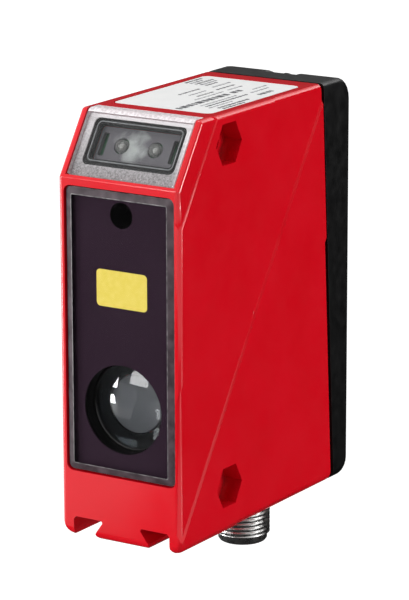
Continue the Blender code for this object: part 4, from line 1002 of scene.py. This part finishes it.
def make_floor():
    """Level floor under the part, well below it."""
    bm = bmesh.new()
    bmesh.ops.create_grid(bm, x_segments=1, y_segments=1, size=FLOOR_REACH)
    mesh = bpy.data.meshes.new("floor")
    bm.to_mesh(mesh)
    bm.free()
    mesh.materials.append(floor_material())
    floor = bpy.data.objects.new("floor", mesh)
    floor.location.z = FLOOR_HEIGHT
    bpy.context.scene.collection.objects.link(floor)


def towards(azimuth, elevation):
    """Unit direction: azimuth in degrees from -Y round to +X, elevation up from the level."""
    turn, climb = math.radians(azimuth), math.radians(elevation)
    return Vector((math.sin(turn) * math.cos(climb), -math.cos(turn) * math.cos(climb), math.sin(climb)))


def aim_at_middle(thing, azimuth, elevation, distance):
    """Places a thing so far from the middle of the part, facing it."""
    away = towards(azimuth, elevation)
    thing.location = Vector(CENTRE) + away * distance
    thing.rotation_euler = (-away).to_track_quat("-Z", "Y").to_euler()
    bpy.context.scene.collection.objects.link(thing)


def softbox(name, azimuth, elevation, distance, size, power):
    """A rectangular lamp that the camera doesn't see."""
    data = bpy.data.lights.new(name, "AREA")
    data.shape = "RECTANGLE"
    data.size, data.size_y = size
    data.energy = power
    lamp = bpy.data.objects.new(name, data)
    aim_at_middle(lamp, azimuth, elevation, distance)
    lamp.visible_camera = False


def card_material(name, grey):
    """Even light of one grey."""
    mat = bpy.data.materials.new(name)
    mat.use_nodes = True
    tree = mat.node_tree
    tree.nodes.clear()
    glow = tree.nodes.new("ShaderNodeEmission")
    glow.inputs["Strength"].default_value = grey
    out = tree.nodes.new("ShaderNodeOutputMaterial")
    tree.links.new(glow.outputs[0], out.inputs["Surface"])
    return mat


def dark_card(name, azimuth, elevation, distance, size, grey):
    """A card that only reflections meet, so that flat glossy faces keep their own colour."""
    half_x, half_y = size[0] / 2, size[1] / 2
    mesh = bpy.data.meshes.new(name)
    corners = [(-half_x, -half_y, 0), (half_x, -half_y, 0), (half_x, half_y, 0), (-half_x, half_y, 0)]
    mesh.from_pydata(corners, [], [(0, 1, 2, 3)])
    mesh.materials.append(card_material(name, grey))
    card = bpy.data.objects.new(name, mesh)
    aim_at_middle(card, azimuth, elevation, distance)
    card.visible_camera = False
    card.visible_diffuse = False
    card.visible_transmission = False
    card.visible_volume_scatter = False
    card.visible_shadow = False


# Name, azimuth and elevation in degrees, distance and size in metres, power in watts
SOFTBOXES = (
    ("key_front", -20.0, 19.0, 0.75, (0.32, 0.28), 3.2),
    ("left_upper", -53.6, 4.0, 0.75, (0.12, 0.14), 1.7),
    ("left_lower", -55.0, -12.0, 0.60, (0.075, 0.080), 0.62),
    ("right_side", 104.0, 9.0, 0.85, (0.22, 0.24), 3.9),
    ("overhead", 10.0, 80.0, 0.70, (0.40, 0.32), 2.25),
    ("rear", 163.9, 30.7, 0.92, (0.30, 0.30), 0.8),
)

# Name, azimuth and elevation in degrees, distance and size in metres, grey
CARDS = (
    ("card_room", -31.6, 0.0, 1.0, (1.6, 1.2), 0.12),
    ("card_under", -31.6, -50.0, 0.16, (0.30, 0.12), 0.03),
    ("card_front", -31.6, -14.1, 0.30, (0.14, 0.20), 0.6),
    ("card_chin", -31.6, -23.9, 0.29, (0.14, 0.06), 1.0),
    ("card_band", 74.0, 29.0, 0.30, (0.12, 0.11), 0.0),
    ("card_flank", 148.4, -14.1, 0.13, (0.28, 0.26), 0.0),
    ("card_top", -148.4, 14.1, 0.35, (0.26, 0.22), 0.06),
    ("card_connector", 20.0, -40.0, 0.14, (0.24, 0.16), 0.02),
    ("card_low", 0.0, -90.0, 0.105, (0.25, 0.25), 0.02),
)

make_world()
make_floor()
for settings in SOFTBOXES:
    softbox(*settings)
for settings in CARDS:
    dark_card(*settings)

# Camera: its lens and sensor in millimetres, its angles in degrees and its place in metres
LENS_MM = 198.34
SENSOR_MM = 36.0
YAW = 32.587
PITCH = 14.282
ROLL = -0.162
CAMERA_PLACE = (0.36719, -0.56201, 0.21925)
camera = bpy.data.objects.new("camera", bpy.data.cameras.new("camera"))
camera.data.sensor_width = SENSOR_MM
camera.data.sensor_fit = "AUTO"
camera.data.lens = LENS_MM
aim = Matrix.Rotation(math.radians(YAW), 4, "Z") @ Matrix.Rotation(math.radians(90 - PITCH), 4, "X")
aim = aim @ Matrix.Rotation(math.radians(ROLL), 4, "Z")
camera.matrix_world = Matrix.Translation(CAMERA_PLACE) @ aim
bpy.context.scene.collection.objects.link(camera)
bpy.context.scene.camera = camera
bpy.context.scene.view_settings.view_transform = "Standard"
